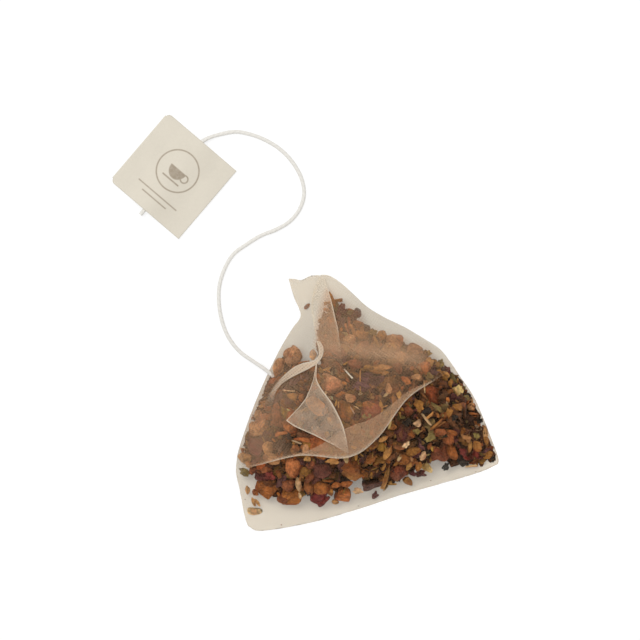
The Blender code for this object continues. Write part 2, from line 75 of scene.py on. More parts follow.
# The pouch's top sheet, as rows of (right, up the picture, height above the rim) in millimetres, each from
# the left edge to the right one. The lower rows climb from the near edge to the pleat.
LOWER_ROWS = (
    ((-27.9, -28.9, 0), (-24.6, -30.0, 0), (-12.9, -28.0, 0), (-1.2, -24.6, 0),
     (7.8, -21.6, 0), (19.5, -18.3, 0), (26.6, -16.1, 0), (30.5, -14.3, 0)),
    ((-28.7, -26.4, 0), (-24.7, -27.2, 0.8), (-13.4, -25.5, 1.3), (-1.6, -22.7, 1.8),
     (6.8, -19.9, 2.2), (17.6, -16.1, 2.6), (25.2, -13.5, 2.4), (30.6, -13.0, 0)),
    ((-29.8, -20.6, 0), (-26.6, -21.7, 2.8), (-14.4, -22.2, 5.2), (-2.6, -20.1, 6.2),
     (5.4, -17.0, 7.0), (14.8, -12.3, 7.2), (22.6, -8.8, 6.2), (29.2, -9.0, 0)),
    ((-30.6, -17.0, 0), (-27.5, -17.7, 4.2), (-15.8, -16.8, 9.2), (-3.8, -16.6, 10.4),
     (3.8, -13.3, 10.6), (12.0, -6.0, 10.4), (19.1, -0.6, 7.8), (25.2, 0.8, 0)),
    ((-30.7, -15.4, 0), (-27.5, -15.9, 4.4), (-15.8, -13.7, 10.6), (-4.2, -14.7, 12.0),
     (2.8, -10.7, 12.2), (10.4, -1.9, 11.0), (16.9, 3.4, 7.2), (21.4, 6.6, 0)),
    ((-30.6, -14.0, 0), (-27.5, -14.8, 4.5), (-15.8, -11.9, 11.2), (-4.7, -12.3, 13.0),
     (2.2, -7.8, 13.0), (9.0, 1.1, 11.2), (15.2, 5.3, 6.4), (20.2, 8.5, 0)),
)
# The upper rows fall from behind the pleat to the far corner, where the edge runs out into a flat ear.
UPPER_ROWS = (
    ((-30.0, -10.7, 0), (-27.5, -10.0, 4.4), (-16.9, -7.9, 11.8), (-5.6, -6.0, 14.0),
     (0.2, -2.7, 13.8), (7.8, 4.4, 11.0), (13.4, 9.6, 6.0), (17.2, 12.4, 0)),
    ((-27.1, -2.2, 0), (-24.9, -2.0, 4.2), (-17.6, -1.0, 10.6), (-8.5, 0.6, 13.0),
     (-1.6, 3.4, 12.8), (5.4, 8.6, 10.0), (10.8, 12.8, 5.0), (13.4, 15.0, 0)),
    ((-23.8, 5.7, 0), (-22.1, 5.6, 2.6), (-16.9, 6.0, 8.6), (-11.5, 7.0, 11.4),
     (-4.0, 9.1, 11.2), (2.4, 12.4, 8.6), (6.8, 15.9, 4.4), (8.7, 17.8, 0)),
    ((-20.5, 12.5, 0), (-19.1, 12.4, 1.8), (-15.3, 12.8, 6.2), (-11.5, 13.8, 8.8),
     (-5.9, 14.0, 9.0), (-1.2, 16.1, 7.2), (2.6, 19.0, 3.4), (4.2, 20.0, 0)),
    ((-17.6, 17.4, 0), (-16.6, 17.3, 1.0), (-14.8, 17.8, 3.2), (-12.9, 18.5, 5.4),
     (-7.8, 18.3, 6.6), (-3.5, 19.9, 5.4), (-0.9, 21.8, 2.6), (0.2, 22.4, 0)),
    ((-15.6, 20.6, 0), (-14.7, 21.0, 0.4), (-13.9, 21.6, 1.4), (-12.8, 22.3, 3.2),
     (-9.9, 22.5, 4.4), (-6.4, 23.4, 3.6), (-4.0, 24.8, 1.6), (-3.1, 25.4, 0)),
    ((-17.2, 25.0, 0), (-15.6, 24.8, 0), (-14.0, 24.5, 0.2), (-12.5, 24.9, 1.4),
     (-10.4, 25.2, 2.6), (-8.2, 25.8, 2.2), (-6.6, 27.0, 0.9), (-5.6, 27.7, 0)),
    ((-18.4, 29.2, 0), (-17.0, 29.1, 0), (-15.4, 28.9, 0), (-13.2, 29.9, 0),
     (-11.5, 30.0, 0), (-10.1, 30.1, 0), (-8.7, 29.8, 0), (-7.3, 29.0, 0)),
)
# How far the hidden tuck reaches behind the pleat's edge at each station, as a share of the way to the
# next row.
TUCK_SHARE = (0.0, 0.0, 0.06, 1.0, 0.8, 0.34, 0.0, 0.0)
TUCK_DEPTH = 0.3 * MM
TUCK_TURN = 0.12 * MM

# The number of rows of points before the pleat, on each layer of the tuck, and behind the pleat.
FRONT_ROWS = 52
TUCK_ROWS = 9
REAR_ROWS = 86

# The folded corner, the welded strip and the seam band, each between two lines in millimetres.

FLAP_HINGE = (
    (-11.8, 9.3), (-11.9, 7.5), (-11.9, 5.9), (-11.0, 3.9), (-9.5, 1.8), (-8.4, 0.3), (-7.2, -1.9),
    (-5.8, -5.0), (-5.1, -7.6), (-4.4, -11.5),
)
FLAP_EDGE = (
    (-12.0, 9.3), (-12.3, 7.3), (-12.6, 5.6), (-13.3, 3.6), (-14.4, 1.2), (-16.1, -1.0), (-18.9, -3.9),
    (-17.1, -5.2), (-12.7, -7.1), (-8.4, -9.3), (-4.4, -11.6),
)
STRIP_LEFT = (
    (-11.2, 29.4), (-12.3, 27.0), (-12.9, 24.8), (-13.1, 22.2), (-12.7, 19.6), (-12.1, 16.1),
    (-11.4, 13.9), (-10.7, 11.7), (-10.1, 9.1), (-9.4, 6.4),
)
STRIP_RIGHT = (
    (-10.1, 29.4), (-9.1, 26.3), (-8.3, 23.5), (-7.6, 20.4), (-6.9, 17.4), (-6.5, 14.3), (-6.1, 11.7),
    (-5.8, 9.1), (-5.7, 6.4),
)
SEAM_UPPER = (
    (-11.9, 14.7), (-11.4, 12.8), (-11.6, 10.8), (-12.8, 10.0), (-15.1, 9.4), (-17.4, 8.3), (-19.2, 6.8),
    (-20.9, 5.0), (-22.7, 2.4), (-23.8, 0.3), (-24.3, -1.2),
)
SEAM_LOWER = (
    (-11.1, 14.5), (-10.3, 13.0), (-10.4, 11.4), (-11.6, 9.5), (-13.4, 8.3), (-15.6, 7.2), (-18.0, 5.9),
    (-20.0, 4.5), (-21.3, 2.7), (-21.9, 0.7), (-22.8, -1.9),
)

# The string's way out of the pouch and over the table to the tag, in millimetres.
STRING_INSIDE = ((-21.9, 6.1), (-23.4, 7.5))
STRING_ROUTE = (
    (-26.4, 9.6), (-29.9, 12.1), (-32.5, 15.4), (-34.1, 19.4), (-34.8, 23.7), (-34.7, 27.4),
    (-33.6, 31.2), (-31.3, 35.0), (-28.2, 37.3), (-24.7, 39.4), (-21.4, 40.7), (-18.1, 42.7),
    (-15.8, 45.6), (-14.8, 49.1), (-15.3, 52.4), (-17.2, 56.1), (-20.2, 59.4), (-24.0, 61.8),
    (-27.8, 63.2), (-30.8, 63.7), (-34.1, 63.2),
)
TAG_CENTRE = (-45.5, 53.3)
TAG_TURN_DEGREES = 49.5

# The string's height over the table in the pouch's edge, its play in the tag, how far it stands out of the
# tag, and the soft waves of its girth.
STRING_IN_POUCH = 0.54 * MM
STRING_PLAY = 0.3 * MM
STRING_END = 1.5 * MM
STRING_WAVES = (0.03, 4.0 * MM, 9)

# The share of light that each stretch of cloth stops. On the pleat's edge the second value is added where the
# fold shows bright, partly its doubled cloth and partly a painted highlight, and the two rows behind it have
# more added in turn.
FRONT_COVER = 0.028
TUCK_COVER = 0.24
INNER_FOLD_COVER = 0.45
PLEAT_COVER = (0.20, 0.62)
BEHIND_PLEAT_COVER = (0.34, 0.10)
RIM_COVER = 0.30
CLEAN_COVER = 0.16
# The underside stops more light than the top sheet: partly the real lower sheet, partly painted shade for the
# table's shadow under the pouch.
UNDERSIDE_COVER_AND_SHADE = 0.80

# Where the cloth behind the pleat is denser or clearer than its middle: place, reach both ways, added cover.
HAZE_MIDDLE = 0.15
HAZE_SPOTS = (
    (-3.0, 17.0, 6.5, 4.5, 0.17),
    (7.0, 12.5, 8.5, 4.0, 0.17),
    (-25.0, -5.0, 5.0, 10.0, 0.15),
    (-12.0, -4.0, 5.0, 5.0, -0.06),
    (-14.0, -7.8, 4.8, 2.6, -0.20),
    (-19.0, 3.0, 3.5, 5.0, 0.10),
    (-10.0, 6.0, 3.0, 4.0, 0.10),
    (20.0, 1.0, 6.0, 7.0, -0.16),
    (14.0, 6.0, 4.0, 3.0, -0.05),
)
HAZE_RIDGE = ((-11.5, 14.0), (-5.5, 13.0), (2.0, 12.0), (12.0, 10.2))
HAZE_RIDGE_COVER = 0.28

# Soft waves of the cloth: their height, their length and their seed.
SHEET_WAVES = (0.14 * MM, 6.2 * MM, 3)
FRONT_WAVES = (0.16 * MM, 3.2 * MM, 5)

# The ways in which the threads run, seen from above, in the sheets and in the layers on them.
SHEET_THREADS = ((0.819, 0.574), (-0.574, 0.819))
LAYER_THREADS = ((0.766, -0.643), (0.643, 0.766))

# Every bit of tea stays this far above the table, and may be this high where the cloth comes down to it.
TABLE_ROOM = 0.12 * MM
CRUMB_CEILING = 0.14 * MM
PIECE_CEILING = 0.16 * MM
CREASE_DEGREES = 26

# A large piece has this much more room under the cloth than a crumb, and keeps at least this height.
PIECE_ROOM = 0.15 * MM
PIECE_LEAST = 0.1 * MM

# Crumbs: how far each place is shaken, the room to the pouch's edge, the lowest top, the depth at which the
# painted shade of the heap is deepest and what it takes away, the greatest depth in millimetres, and how dark
# they are.
CRUMB_SHAKE = 0.35 * MM
CRUMB_EDGE_ROOM = 0.25 * MM
CRUMB_LOWEST_TOP = 0.7 * MM
DEEP_SHADE_DEPTH = 3.0 * MM
DEEP_SHADE = 0.55
CRUMB_DEPTH = 2.4
CRUMB_SHADE = 0.85

# The crumbs' mix changes from the left one to the right one between these places in millimetres. Few of
# them lie on the large pieces: the first share at the left, and the second added to it at the right.
MIX_CHANGE = (-12.0, 4.0)
CRUMBS_ON_PIECES = (0.06, 0.14)

# The bed: its room to the heap's edge, its pieces' sizes in millimetres, their depth as a share of the height
# and at least, and how dark they are painted, as painted shade in the gaps between the other pieces.
BED_ROOM = 0.9 * MM
BED_SIZES = (1.6, 2.8)
BED_DEPTH_SHARE = 0.35
BED_LEAST_DEPTH = 2.0 * MM
BED_PAINTED_SHADE = 0.35

# The colour of each large piece of tea, as it lies in the heap.
PIECE_COLOURS = {
    "fruit": (
        "apricot", "apricot", "brown", "brown", "orange", "orange", "orange", "orange", "crimson",
        "brown", "amber", "orange", "rust", "rust", "brown", "orange", "brown", "orange", "brown",
        "rust", "brown", "brown", "brown", "brown", "apricot", "brown", "brown", "brown", "orange",
        "apricot", "apricot", "brown", "rust", "brown", "rust",
    ),
    "petal": (
        "maroon", "purple", "maroon", "maroon", "maroon", "purple", "maroon", "crimson", "maroon",
        "maroon", "maroon", "purple", "purple",
    ),
    "leaf": ("amber", "amber", "tan", "olive", "amber", "tan", "brown"),
    "stem": ("amber",),
}

# Each kind of crumb: its share of the left and of the right half of the heap, and the colours it comes in.
CRUMB_KINDS = (
    ("shard", 0.52, 0.38, (("orange", 0.5), ("brown", 0.25), ("amber", 0.25))),
    ("petal", 0.26, 0.17, (("maroon", 0.6), ("purple", 0.15), ("brown", 0.25))),
    ("flake", 0.10, 0.22,
     (("olive", 0.25), ("black", 0.13), ("amber", 0.2), ("gold", 0.25), ("brown", 0.17))),
    ("husk", 0.07, 0.17, (("gold", 0.4), ("amber", 0.3), ("tan", 0.3))),
    ("splinter", 0.05, 0.06, (("tan", 0.2), ("gold", 0.3), ("brown", 0.5))),
)

# The edge of the tea heap, in millimetres.
HEAP_EDGE = (
    (-28.3, -13.5), (-27.0, -16.5), (-25.0, -17.6), (-24.0, -21.8), (-18.3, -22.6), (-15.8, -21.0),
    (-12.3, -19.9), (-9.0, -20.5), (-4.9, -21.3), (-4.4, -18.2), (-1.3, -17.2), (2.0, -19.3),
    (4.8, -19.6), (8.8, -17.6), (12.7, -14.6), (17.0, -12.8), (21.4, -14.0), (26.6, -14.4),
    (30.0, -13.4), (30.2, -11.5), (28.9, -6.5), (27.9, -3.5), (25.6, 0.5), (22.0, 5.5), (19.0, 8.0),
    (16.0, 9.7), (13.9, 11.7), (13.0, 13.0), (9.5, 13.0), (8.5, 14.6), (4.0, 15.6), (2.2, 16.4),
    (-1.6, 17.8), (-2.2, 20.6), (-4.4, 22.4), (-7.0, 23.0), (-8.9, 25.8), (-10.4, 21.0), (-11.2, 17.0),
    (-11.2, 13.0), (-11.0, 9.6), (-13.8, 8.8), (-15.8, 9.5), (-15.6, 12.0), (-19.0, 12.4), (-21.0, 9.5),
    (-23.2, 5.5), (-25.0, 1.0), (-26.8, -3.0), (-28.0, -7.5), (-29.4, -11.0),
)

# The pieces that stand out, by their form, each as it lies: place, length, width, turn in degrees and colour.
PLACED = {
    "chunk": (
        (-10.7, -19.6, 4.1, 3.6, 20, "orange"), (-4.8, -18.9, 2.9, 1.7, 10, "orange"),
        (-7.3, -19.0, 2.4, 1.5, 15, "orange"), (-14.4, -10.4, 2.3, 1.6, 85, "apricot"),
        (-14.0, -12.7, 1.8, 1.6, 0, "gold"), (-15.0, -8.4, 4.4, 1.2, -5, "orange"),
        (-12.3, -8.5, 2.3, 1.4, -35, "orange"), (-16.7, -10.3, 2.0, 1.5, -30, "orange"),
        (-23.3, -10.8, 3.8, 2.9, 75, "apricot"), (-22.4, -12.9, 4.3, 2.7, -15, "apricot"),
        (-28.5, -12.7, 2.9, 3.1, 40, "apricot"), (-27.6, -14.4, 2.0, 1.4, -50, "apricot"),
        (-23.5, -15.3, 2.7, 1.8, 10, "rust"), (-26.7, -15.8, 2.2, 1.8, 60, "rust"),
        (-13.6, -17.2, 3.6, 2.0, 60, "rust"), (-13.3, -14.2, 2.3, 2.2, 0, "rust"),
        (-7.5, -23.1, 1.7, 1.4, 10, "gold"), (-26.3, -25.4, 3.7, 1.9, 0, "tan"),
        (-28.0, -20.4, 2.1, 1.3, 80, "apricot"), (-26.2, -21.0, 1.9, 1.4, -60, "orange"),
        (-18.3, -19.0, 3.6, 3.1, 30, "rust"), (-19.4, -22.3, 3.6, 2.3, 5, "rust"),
        (9.4, -1.8, 2.8, 2.5, 0, "rust"), (11.5, -4.5, 2.1, 1.9, 0, "tan"),
        (19.5, -7.0, 3.0, 1.6, -10, "orange"), (16.6, -6.7, 3.2, 2.4, 30, "rust"),
        (19.6, -11.2, 4.7, 2.3, -62, "orange"), (16.0, -11.8, 3.4, 3.4, 0, "rust"),
        (9.5, -18.4, 2.8, 1.8, -45, "gold"), (10.6, -11.2, 3.9, 2.3, 10, "amber"),
        (27.4, -6.7, 3.9, 1.5, -80, "apricot"), (27.7, -8.8, 2.1, 1.7, -70, "amber"),
        (24.8, -2.7, 2.5, 1.1, -5, "orange"), (24.3, -0.8, 2.1, 1.9, 0, "apricot"),
        (20.9, -1.0, 2.3, 1.9, 10, "amber"), (5.7, -5.4, 2.1, 1.6, 0, "amber"),
        (22.0, -0.5, 2.1, 1.5, 0, "rust"), (6.2, 14.7, 4.3, 3.4, -15, "apricot"),
        (7.8, 10.8, 3.4, 3.4, -50, "apricot"), (3.3, 16.0, 2.5, 2.3, 0, "amber"),
        (-4.3, 14.9, 3.2, 2.7, 0, "apricot"), (-3.0, 9.2, 3.6, 2.5, -15, "rust"),
        (11.4, 6.1, 2.6, 1.6, 0, "apricot"), (5.0, 3.5, 2.7, 1.8, 80, "apricot"),
        (-4.1, 1.3, 2.7, 2.0, -20, "apricot"), (7.1, 8.3, 3.1, 2.0, -50, "rust"),
        (8.9, 5.4, 2.7, 1.6, -50, "orange"), (0.4, -0.5, 3.8, 2.0, -10, "orange"),
        (-20.5, 8.2, 5.2, 3.5, 62, "apricot"), (-16.9, 11.6, 4.0, 3.0, -50, "apricot"),
        (-22.0, 5.1, 2.3, 1.8, 30, "rust"), (-12.7, 11.4, 2.6, 1.8, 70, "apricot"),
        (-9.8, 2.5, 1.1, 0.7, 80, "tan"), (-21.0, -2.8, 6.1, 2.7, -82, "rust"),
        (-17.7, -3.1, 3.5, 2.4, 70, "orange"), (-17.6, -5.7, 4.2, 2.6, -10, "orange"),
        (-25.2, -2.7, 2.6, 2.2, 0, "apricot"), (-14.1, 22.7, 1.8, 1.0, 52, "orange"),
        (-25.6, -6.3, 5.2, 4.0, -25, "apricot"), (-20.1, -28.6, 0.3, 0.3, 0, "crimson"),
        (-14.9, -28.2, 0.4, 0.2, 0, "crimson"), (-28.6, -22.6, 0.3, 0.2, 0, "brown"),
        (-2.1, -24.2, 0.3, 0.2, 0, "brown"), (14.8, -18.2, 0.3, 0.2, 0, "brown"),
        (25.4, -16.1, 0.3, 0.2, 0, "brown"), (-11.8, 25.0, 0.3, 0.2, 0, "brown"),
    ),
    "petal": (
        (-6.0, -14.4, 3.4, 2.3, 80, "purple"), (-24.8, -17.2, 3.8, 2.3, -20, "maroon"),
        (-22.6, -16.9, 2.5, 2.0, 0, "crimson"), (-20.1, -18.1, 3.8, 2.2, 80, "purple"),
        (-10.4, -22.7, 4.0, 2.7, 25, "crimson"), (-25.7, -13.5, 2.7, 1.8, 30, "maroon"),
        (7.9, -6.9, 4.3, 2.7, 80, "maroon"), (22.2, -13.3, 3.6, 2.8, -60, "black"),
        (12.3, -16.5, 3.1, 1.7, 10, "maroon"), (26.3, -4.3, 1.6, 1.4, 0, "black"),
        (19.9, -3.7, 2.8, 2.1, 0, "black"), (22.2, -11.4, 2.4, 1.7, -40, "crimson"),
        (27.9, -11.0, 2.3, 1.0, 25, "purple"), (29.3, -12.8, 2.4, 1.3, 80, "black"),
        (12.4, -10.1, 2.6, 1.1, -35, "purple"), (20.3, -8.7, 2.1, 1.1, 20, "maroon"),
        (23.5, 1.8, 1.9, 1.1, -30, "black"), (9.1, -4.4, 2.3, 2.1, 0, "black"),
        (13.6, -1.6, 2.4, 1.7, 0, "black"), (1.8, 5.2, 4.7, 3.1, 15, "purple"),
        (15.2, 7.2, 3.4, 1.2, -5, "purple"), (18.8, 7.9, 2.5, 1.4, -60, "maroon"),
        (1.1, 16.6, 2.5, 2.0, 0, "olive"), (-17.0, 5.3, 3.2, 2.0, 20, "purple"),
        (-18.4, 0.5, 2.5, 1.7, -20, "maroon"), (-20.8, 1.2, 3.6, 1.8, 60, "purple"),
        (-6.1, 21.5, 4.0, 2.2, 70, "maroon"), (-2.7, 20.4, 3.9, 2.2, 65, "maroon"),
        (1.7, -21.6, 2.0, 1.5, 40, "maroon"),
    ),
    "flake": (
        (-8.2, -13.3, 3.4, 1.6, 0, "gold"), (-28.7, -16.2, 3.2, 1.9, -30, "olive"),
        (-14.0, -20.7, 2.3, 1.4, -80, "black"), (11.9, -0.3, 3.8, 2.4, -70, "amber"),
        (8.9, -9.6, 2.1, 1.3, 40, "tan"), (14.7, -7.8, 3.4, 2.1, 50, "olive"),
        (11.3, -6.5, 1.9, 1.5, 0, "olive"), (18.3, -14.9, 2.2, 1.6, 60, "black"),
        (18.9, -2.2, 2.8, 1.6, 70, "amber"), (21.5, -4.2, 2.4, 1.1, 40, "olive"),
        (25.4, -7.6, 1.9, 1.5, -40, "olive"), (16.2, -0.9, 4.1, 1.1, -40, "olive"),
        (22.9, 1.4, 2.8, 1.3, -10, "olive"), (14.4, 9.5, 2.9, 2.3, 80, "gold"),
        (17.1, 9.4, 2.3, 2.0, 70, "olive"), (19.3, 4.5, 2.5, 1.3, 75, "amber"),
        (-0.3, -2.9, 2.3, 1.4, 10, "olive"), (-9.5, 8.1, 2.3, 0.7, 20, "gold"),
        (-2.2, -20.5, 2.6, 1.7, -10, "tan"),
    ),
    "husk": (
        (-4.3, -16.7, 2.5, 1.4, -60, "gold"), (-16.1, -19.0, 3.6, 1.4, -80, "tan"),
        (-15.8, -21.6, 1.6, 0.9, -75, "tan"), (-26.6, -23.2, 2.3, 0.9, -70, "gold"),
        (-25.7, -23.3, 2.3, 0.8, -55, "gold"), (12.8, -12.2, 2.4, 1.7, 70, "tan"),
        (11.9, -14.8, 2.6, 1.5, 70, "amber"), (9.6, -14.7, 2.3, 1.2, 60, "gold"),
        (4.6, -11.4, 3.9, 1.7, 65, "gold"), (25.6, -10.1, 3.0, 2.1, -60, "amber"),
        (23.9, -10.3, 2.8, 1.1, 80, "gold"), (28.0, -12.2, 2.8, 2.1, 20, "amber"),
        (3.6, -8.2, 2.6, 1.1, 30, "gold"), (3.1, 8.5, 5.4, 1.3, 0, "gold"),
        (2.6, 7.5, 4.7, 1.1, -5, "amber"), (18.0, 6.7, 2.5, 1.6, -20, "gold"),
        (-16.9, 1.6, 4.0, 1.6, -14, "amber"),
    ),
    "splinter": (
        (13.6, -3.7, 3.6, 0.8, -45, "tan"), (14.3, -2.9, 2.8, 0.7, 40, "gold"),
        (24.3, -14.8, 2.8, 0.8, 0, "tan"), (4.2, -17.4, 5.6, 1.5, 78, "gold"),
        (16.0, -4.8, 3.8, 0.6, 40, "amber"), (-1.7, 5.2, 5.9, 0.6, 88, "gold"),
        (13.2, 4.0, 3.1, 0.5, -82, "tan"), (-4.7, 17.1, 3.4, 1.0, -80, "orange"),
        (-3.4, 17.1, 3.4, 1.1, -75, "amber"), (-4.5, 7.0, 3.0, 0.6, -44, "pale"),
        (-14.9, 9.7, 2.8, 0.5, 14, "orange"), (-18.4, 3.0, 3.0, 0.4, -4, "tan"),
        (-19.5, -7.0, 4.2, 1.0, 8, "orange"), (-8.2, 24.3, 4.0, 1.0, -72, "amber"),
        (-4.4, 18.5, 3.5, 1.1, 80, "rust"),
    ),
}


class ClothSettings(bpy.types.PropertyGroup):
    """Sizes and colours of the pouch's mesh cloth."""

    thickness: FloatProperty(
        name="Cloth Thickness", description="Thickness of the mesh cloth", default=0.00007, unit="LENGTH")
    rim: FloatProperty(
        name="Rim Height", description="Height of the pouch's edge", default=0.00014, unit="LENGTH")
    pleat: FloatProperty(
        name="Pleat Step", description="Height of the pleat over its sheet", default=0.0005, unit="LENGTH")
    weave: FloatProperty(
        name="Weave Pitch", description="Distance between threads", default=0.00056, unit="LENGTH")
    colour: FloatVectorProperty(
        name="Cloth Colour", description="Colour of the clean cloth", subtype="COLOR", size=3, min=0, max=1,
        default=(0.90, 0.80, 0.64))
    # Over the tea the cloth is painted darker and browner: painted shade and tea-coloured bounce light from
    # the tea below.
    tea_bounce_shade: FloatVectorProperty(
        name="Tea Tint", description="Colour of the cloth where it lies over the tea",
        subtype="COLOR", size=3,
        min=0, max=1, default=(0.75, 0.465, 0.272))


class TeaSettings(bpy.types.PropertyGroup):
    """Amounts and colours of the dried tea."""

    crumbs: IntProperty(name="Crumbs", description="Number of small broken pieces", default=2300, min=0)
    bed: IntProperty(name="Bed", description="Number of dark pieces deep in the heap", default=760, min=0)
    seed: IntProperty(name="Seed", description="Seed of the small pieces' places", default=7)
    gap: FloatProperty(
        name="Gap Under Cloth", description="Least room between a crumb and the cloth", default=0.0004,
        unit="LENGTH")
    orange: FloatVectorProperty(
        name="Orange", description="Colour of fresh cut dried fruit", subtype="COLOR", size=3, min=0, max=1,
        default=(0.38, 0.112, 0.026))
    apricot: FloatVectorProperty(
        name="Apricot", description="Colour of pale fruit", subtype="COLOR", size=3, min=0, max=1,
        default=(0.50, 0.235, 0.090))
    rust: FloatVectorProperty(
        name="Rust", description="Colour of dark red-brown fruit", subtype="COLOR", size=3, min=0, max=1,
        default=(0.25, 0.072, 0.026))
    crimson: FloatVectorProperty(
        name="Crimson", description="Colour of deep red petals", subtype="COLOR", size=3, min=0, max=1,
        default=(0.19, 0.030, 0.024))
    amber: FloatVectorProperty(
        name="Amber", description="Colour of peel and rind", subtype="COLOR", size=3, min=0, max=1,
        default=(0.36, 0.145, 0.030))
    tan: FloatVectorProperty(
        name="Tan", description="Colour of husks and stems", subtype="COLOR", size=3, min=0, max=1,
        default=(0.66, 0.41, 0.200))
    gold: FloatVectorProperty(
        name="Gold", description="Colour of yellow shreds", subtype="COLOR", size=3, min=0, max=1,
        default=(0.45, 0.205, 0.055))
    pale: FloatVectorProperty(
        name="Pale", description="Colour of one bleached splinter", subtype="COLOR", size=3, min=0, max=1,
        default=(0.82, 0.74, 0.62))
    brown: FloatVectorProperty(
        name="Brown", description="Colour of old fruit", subtype="COLOR", size=3, min=0, max=1,
        default=(0.170, 0.058, 0.019))
    maroon: FloatVectorProperty(
        name="Maroon", description="Colour of dried petals", subtype="COLOR", size=3, min=0, max=1,
        default=(0.105, 0.026, 0.020))
    purple: FloatVectorProperty(
        name="Purple", description="Colour of faded petals", subtype="COLOR", size=3, min=0, max=1,
        default=(0.120, 0.045, 0.040))
    olive: FloatVectorProperty(
        name="Olive", description="Colour of dried leaves", subtype="COLOR", size=3, min=0, max=1,
        default=(0.220, 0.148, 0.044))
    black: FloatVectorProperty(
        name="Black", description="Colour of the darkest flakes", subtype="COLOR", size=3, min=0, max=1,
        default=(0.018, 0.015, 0.012))


class StringTagSettings(bpy.types.PropertyGroup):
    """Sizes and colours of the string and the tag."""

    diameter: FloatProperty(
        name="String Diameter", description="Thickness of the string", default=0.0009, unit="LENGTH")
    twist: FloatProperty(
        name="Twist", description="Length of one turn of the ply", default=0.0026, unit="LENGTH")
    cotton: FloatVectorProperty(
        name="Cotton", description="Colour of the string", subtype="COLOR", size=3, min=0, max=1,
        default=(0.88, 0.85, 0.79))
    side: FloatProperty(name="Tag Side", description="Side of the square tag", default=0.021, unit="LENGTH")
    card: FloatProperty(
        name="Card", description="Thickness of one leaf of card", default=0.00025, unit="LENGTH")
    paper: FloatVectorProperty(
        name="Card Colour", description="Colour of the card", subtype="COLOR", size=3, min=0, max=1,
        default=(0.775, 0.716, 0.604))
    ink: FloatVectorProperty(
        name="Ink", description="Colour of the printed emblem", subtype="COLOR", size=3, min=0, max=1,
        default=(0.38, 0.31, 0.23))


class StageSettings(bpy.types.PropertyGroup):
    """The floor, the light and the camera."""

    distance: FloatProperty(
        name="Camera Distance", description="Height of the camera", default=1.2, unit="LENGTH")
    sky: FloatProperty(name="Sky", description="Strength of the even light", default=0.65)
    key: FloatProperty(name="Key Light", description="Power of the large lamp", default=1.5, unit="POWER")


SETTINGS = (
    ("tea_bag_cloth", ClothSettings),
    ("tea_bag_tea", TeaSettings),
    ("tea_bag_line", StringTagSettings),
    ("tea_bag_stage", StageSettings),
)


def through(knots, values, at):
    """A smooth curve through values at knots, read at the places in at: cubic pieces whose slopes are the
    differences of the neighbours."""
    knots = np.asarray(knots, float)
    values = np.asarray(values, float)
    at = np.asarray(at, float)
    slopes = np.gradient(values, knots, axis=0)
    left = np.clip(np.searchsorted(knots, at, side="right") - 1, 0, len(knots) - 2)
    span = (knots[left + 1] - knots[left]).reshape((-1,) + (1,) * (values.ndim - 1))
    t = (at - knots[left]).reshape(span.shape) / span
    return (
        (2 * t**3 - 3 * t**2 + 1) * values[left]
        + (t**3 - 2 * t**2 + t) * span * slopes[left]
        + (3 * t**2 - 2 * t**3) * values[left + 1]
        + (t**3 - t**2) * span * slopes[left + 1]
    )


def lengths(points):
    """How far each point lies along the line from its start."""
    return np.concatenate([[0.0], np.cumsum(np.linalg.norm(np.diff(points, axis=0), axis=1))])


def grid_quads(rows, columns, first=0, wrap=False):
    """The four corners of every cell of a grid, closed round its columns where wrap is set."""
    r = np.arange(rows - 1)[:, None]
    c = np.arange(columns if wrap else columns - 1)[None, :]
    after = (c + 1) % columns
    here, up = r * columns, (r + 1) * columns
    return np.stack([here + c, here + after, up + after, up + c], axis=-1).reshape(-1, 4) + first


def make_mesh(
        name, points, quads, triangles=None, surface=None, smooth=True, attributes=None, uv=None):
    """A mesh object from arrays of points and faces, with one value for each point in every attribute."""
    triangles = np.zeros((0, 3), int) if triangles is None else triangles
    mesh = bpy.data.meshes.new(name)
    mesh.vertices.add(len(points))
    mesh.vertices.foreach_set("co", np.asarray(points, np.float32).ravel())
    corners = np.concatenate([np.ravel(quads), np.ravel(triangles)]).astype(np.int32)
    sizes = np.concatenate([np.full(len(quads), 4), np.full(len(triangles), 3)]).astype(np.int32)
    starts = np.concatenate([[0], np.cumsum(sizes)[:-1]]).astype(np.int32)
    mesh.loops.add(len(corners))
    mesh.loops.foreach_set("vertex_index", corners)
    mesh.polygons.add(len(sizes))
    mesh.polygons.foreach_set("loop_start", starts)
    mesh.polygons.foreach_set("loop_total", sizes)
    mesh.update(calc_edges=True)
    mesh.validate()
    for title, values in (attributes or {}).items():
        if np.ndim(values) == 2:
            colour = np.column_stack([values, np.ones(len(values))]).astype(np.float32)
            mesh.attributes.new(title, "FLOAT_COLOR", "POINT").data.foreach_set("color", colour.ravel())
        else:
            single = np.asarray(values, np.float32)
            mesh.attributes.new(title, "FLOAT", "POINT").data.foreach_set("value", single)
    if uv is not None:
        layer = mesh.uv_layers.new(name="UVMap")
        layer.data.foreach_set("uv", np.asarray(uv, np.float32)[corners].ravel())
    if smooth:
        mesh.shade_smooth()
    made = bpy.data.objects.new(name, mesh)
    bpy.context.scene.collection.objects.link(made)
    if surface:
        mesh.materials.append(surface)
    return made


def close_seams(made, distance=2e-6):
    """Joins the points that lie on each other and turns every face outwards."""
    shape = bmesh.new()
    shape.from_mesh(made.data)
    bmesh.ops.remove_doubles(shape, verts=shape.verts, dist=distance)
    bmesh.ops.dissolve_degenerate(shape, edges=shape.edges, dist=distance)
    bmesh.ops.recalc_face_normals(shape, faces=shape.faces)
    shape.to_mesh(made.data)
    shape.free()
    made.data.update()
    made.data.set_sharp_from_angle(angle=math.radians(55))


# Shader helpers.


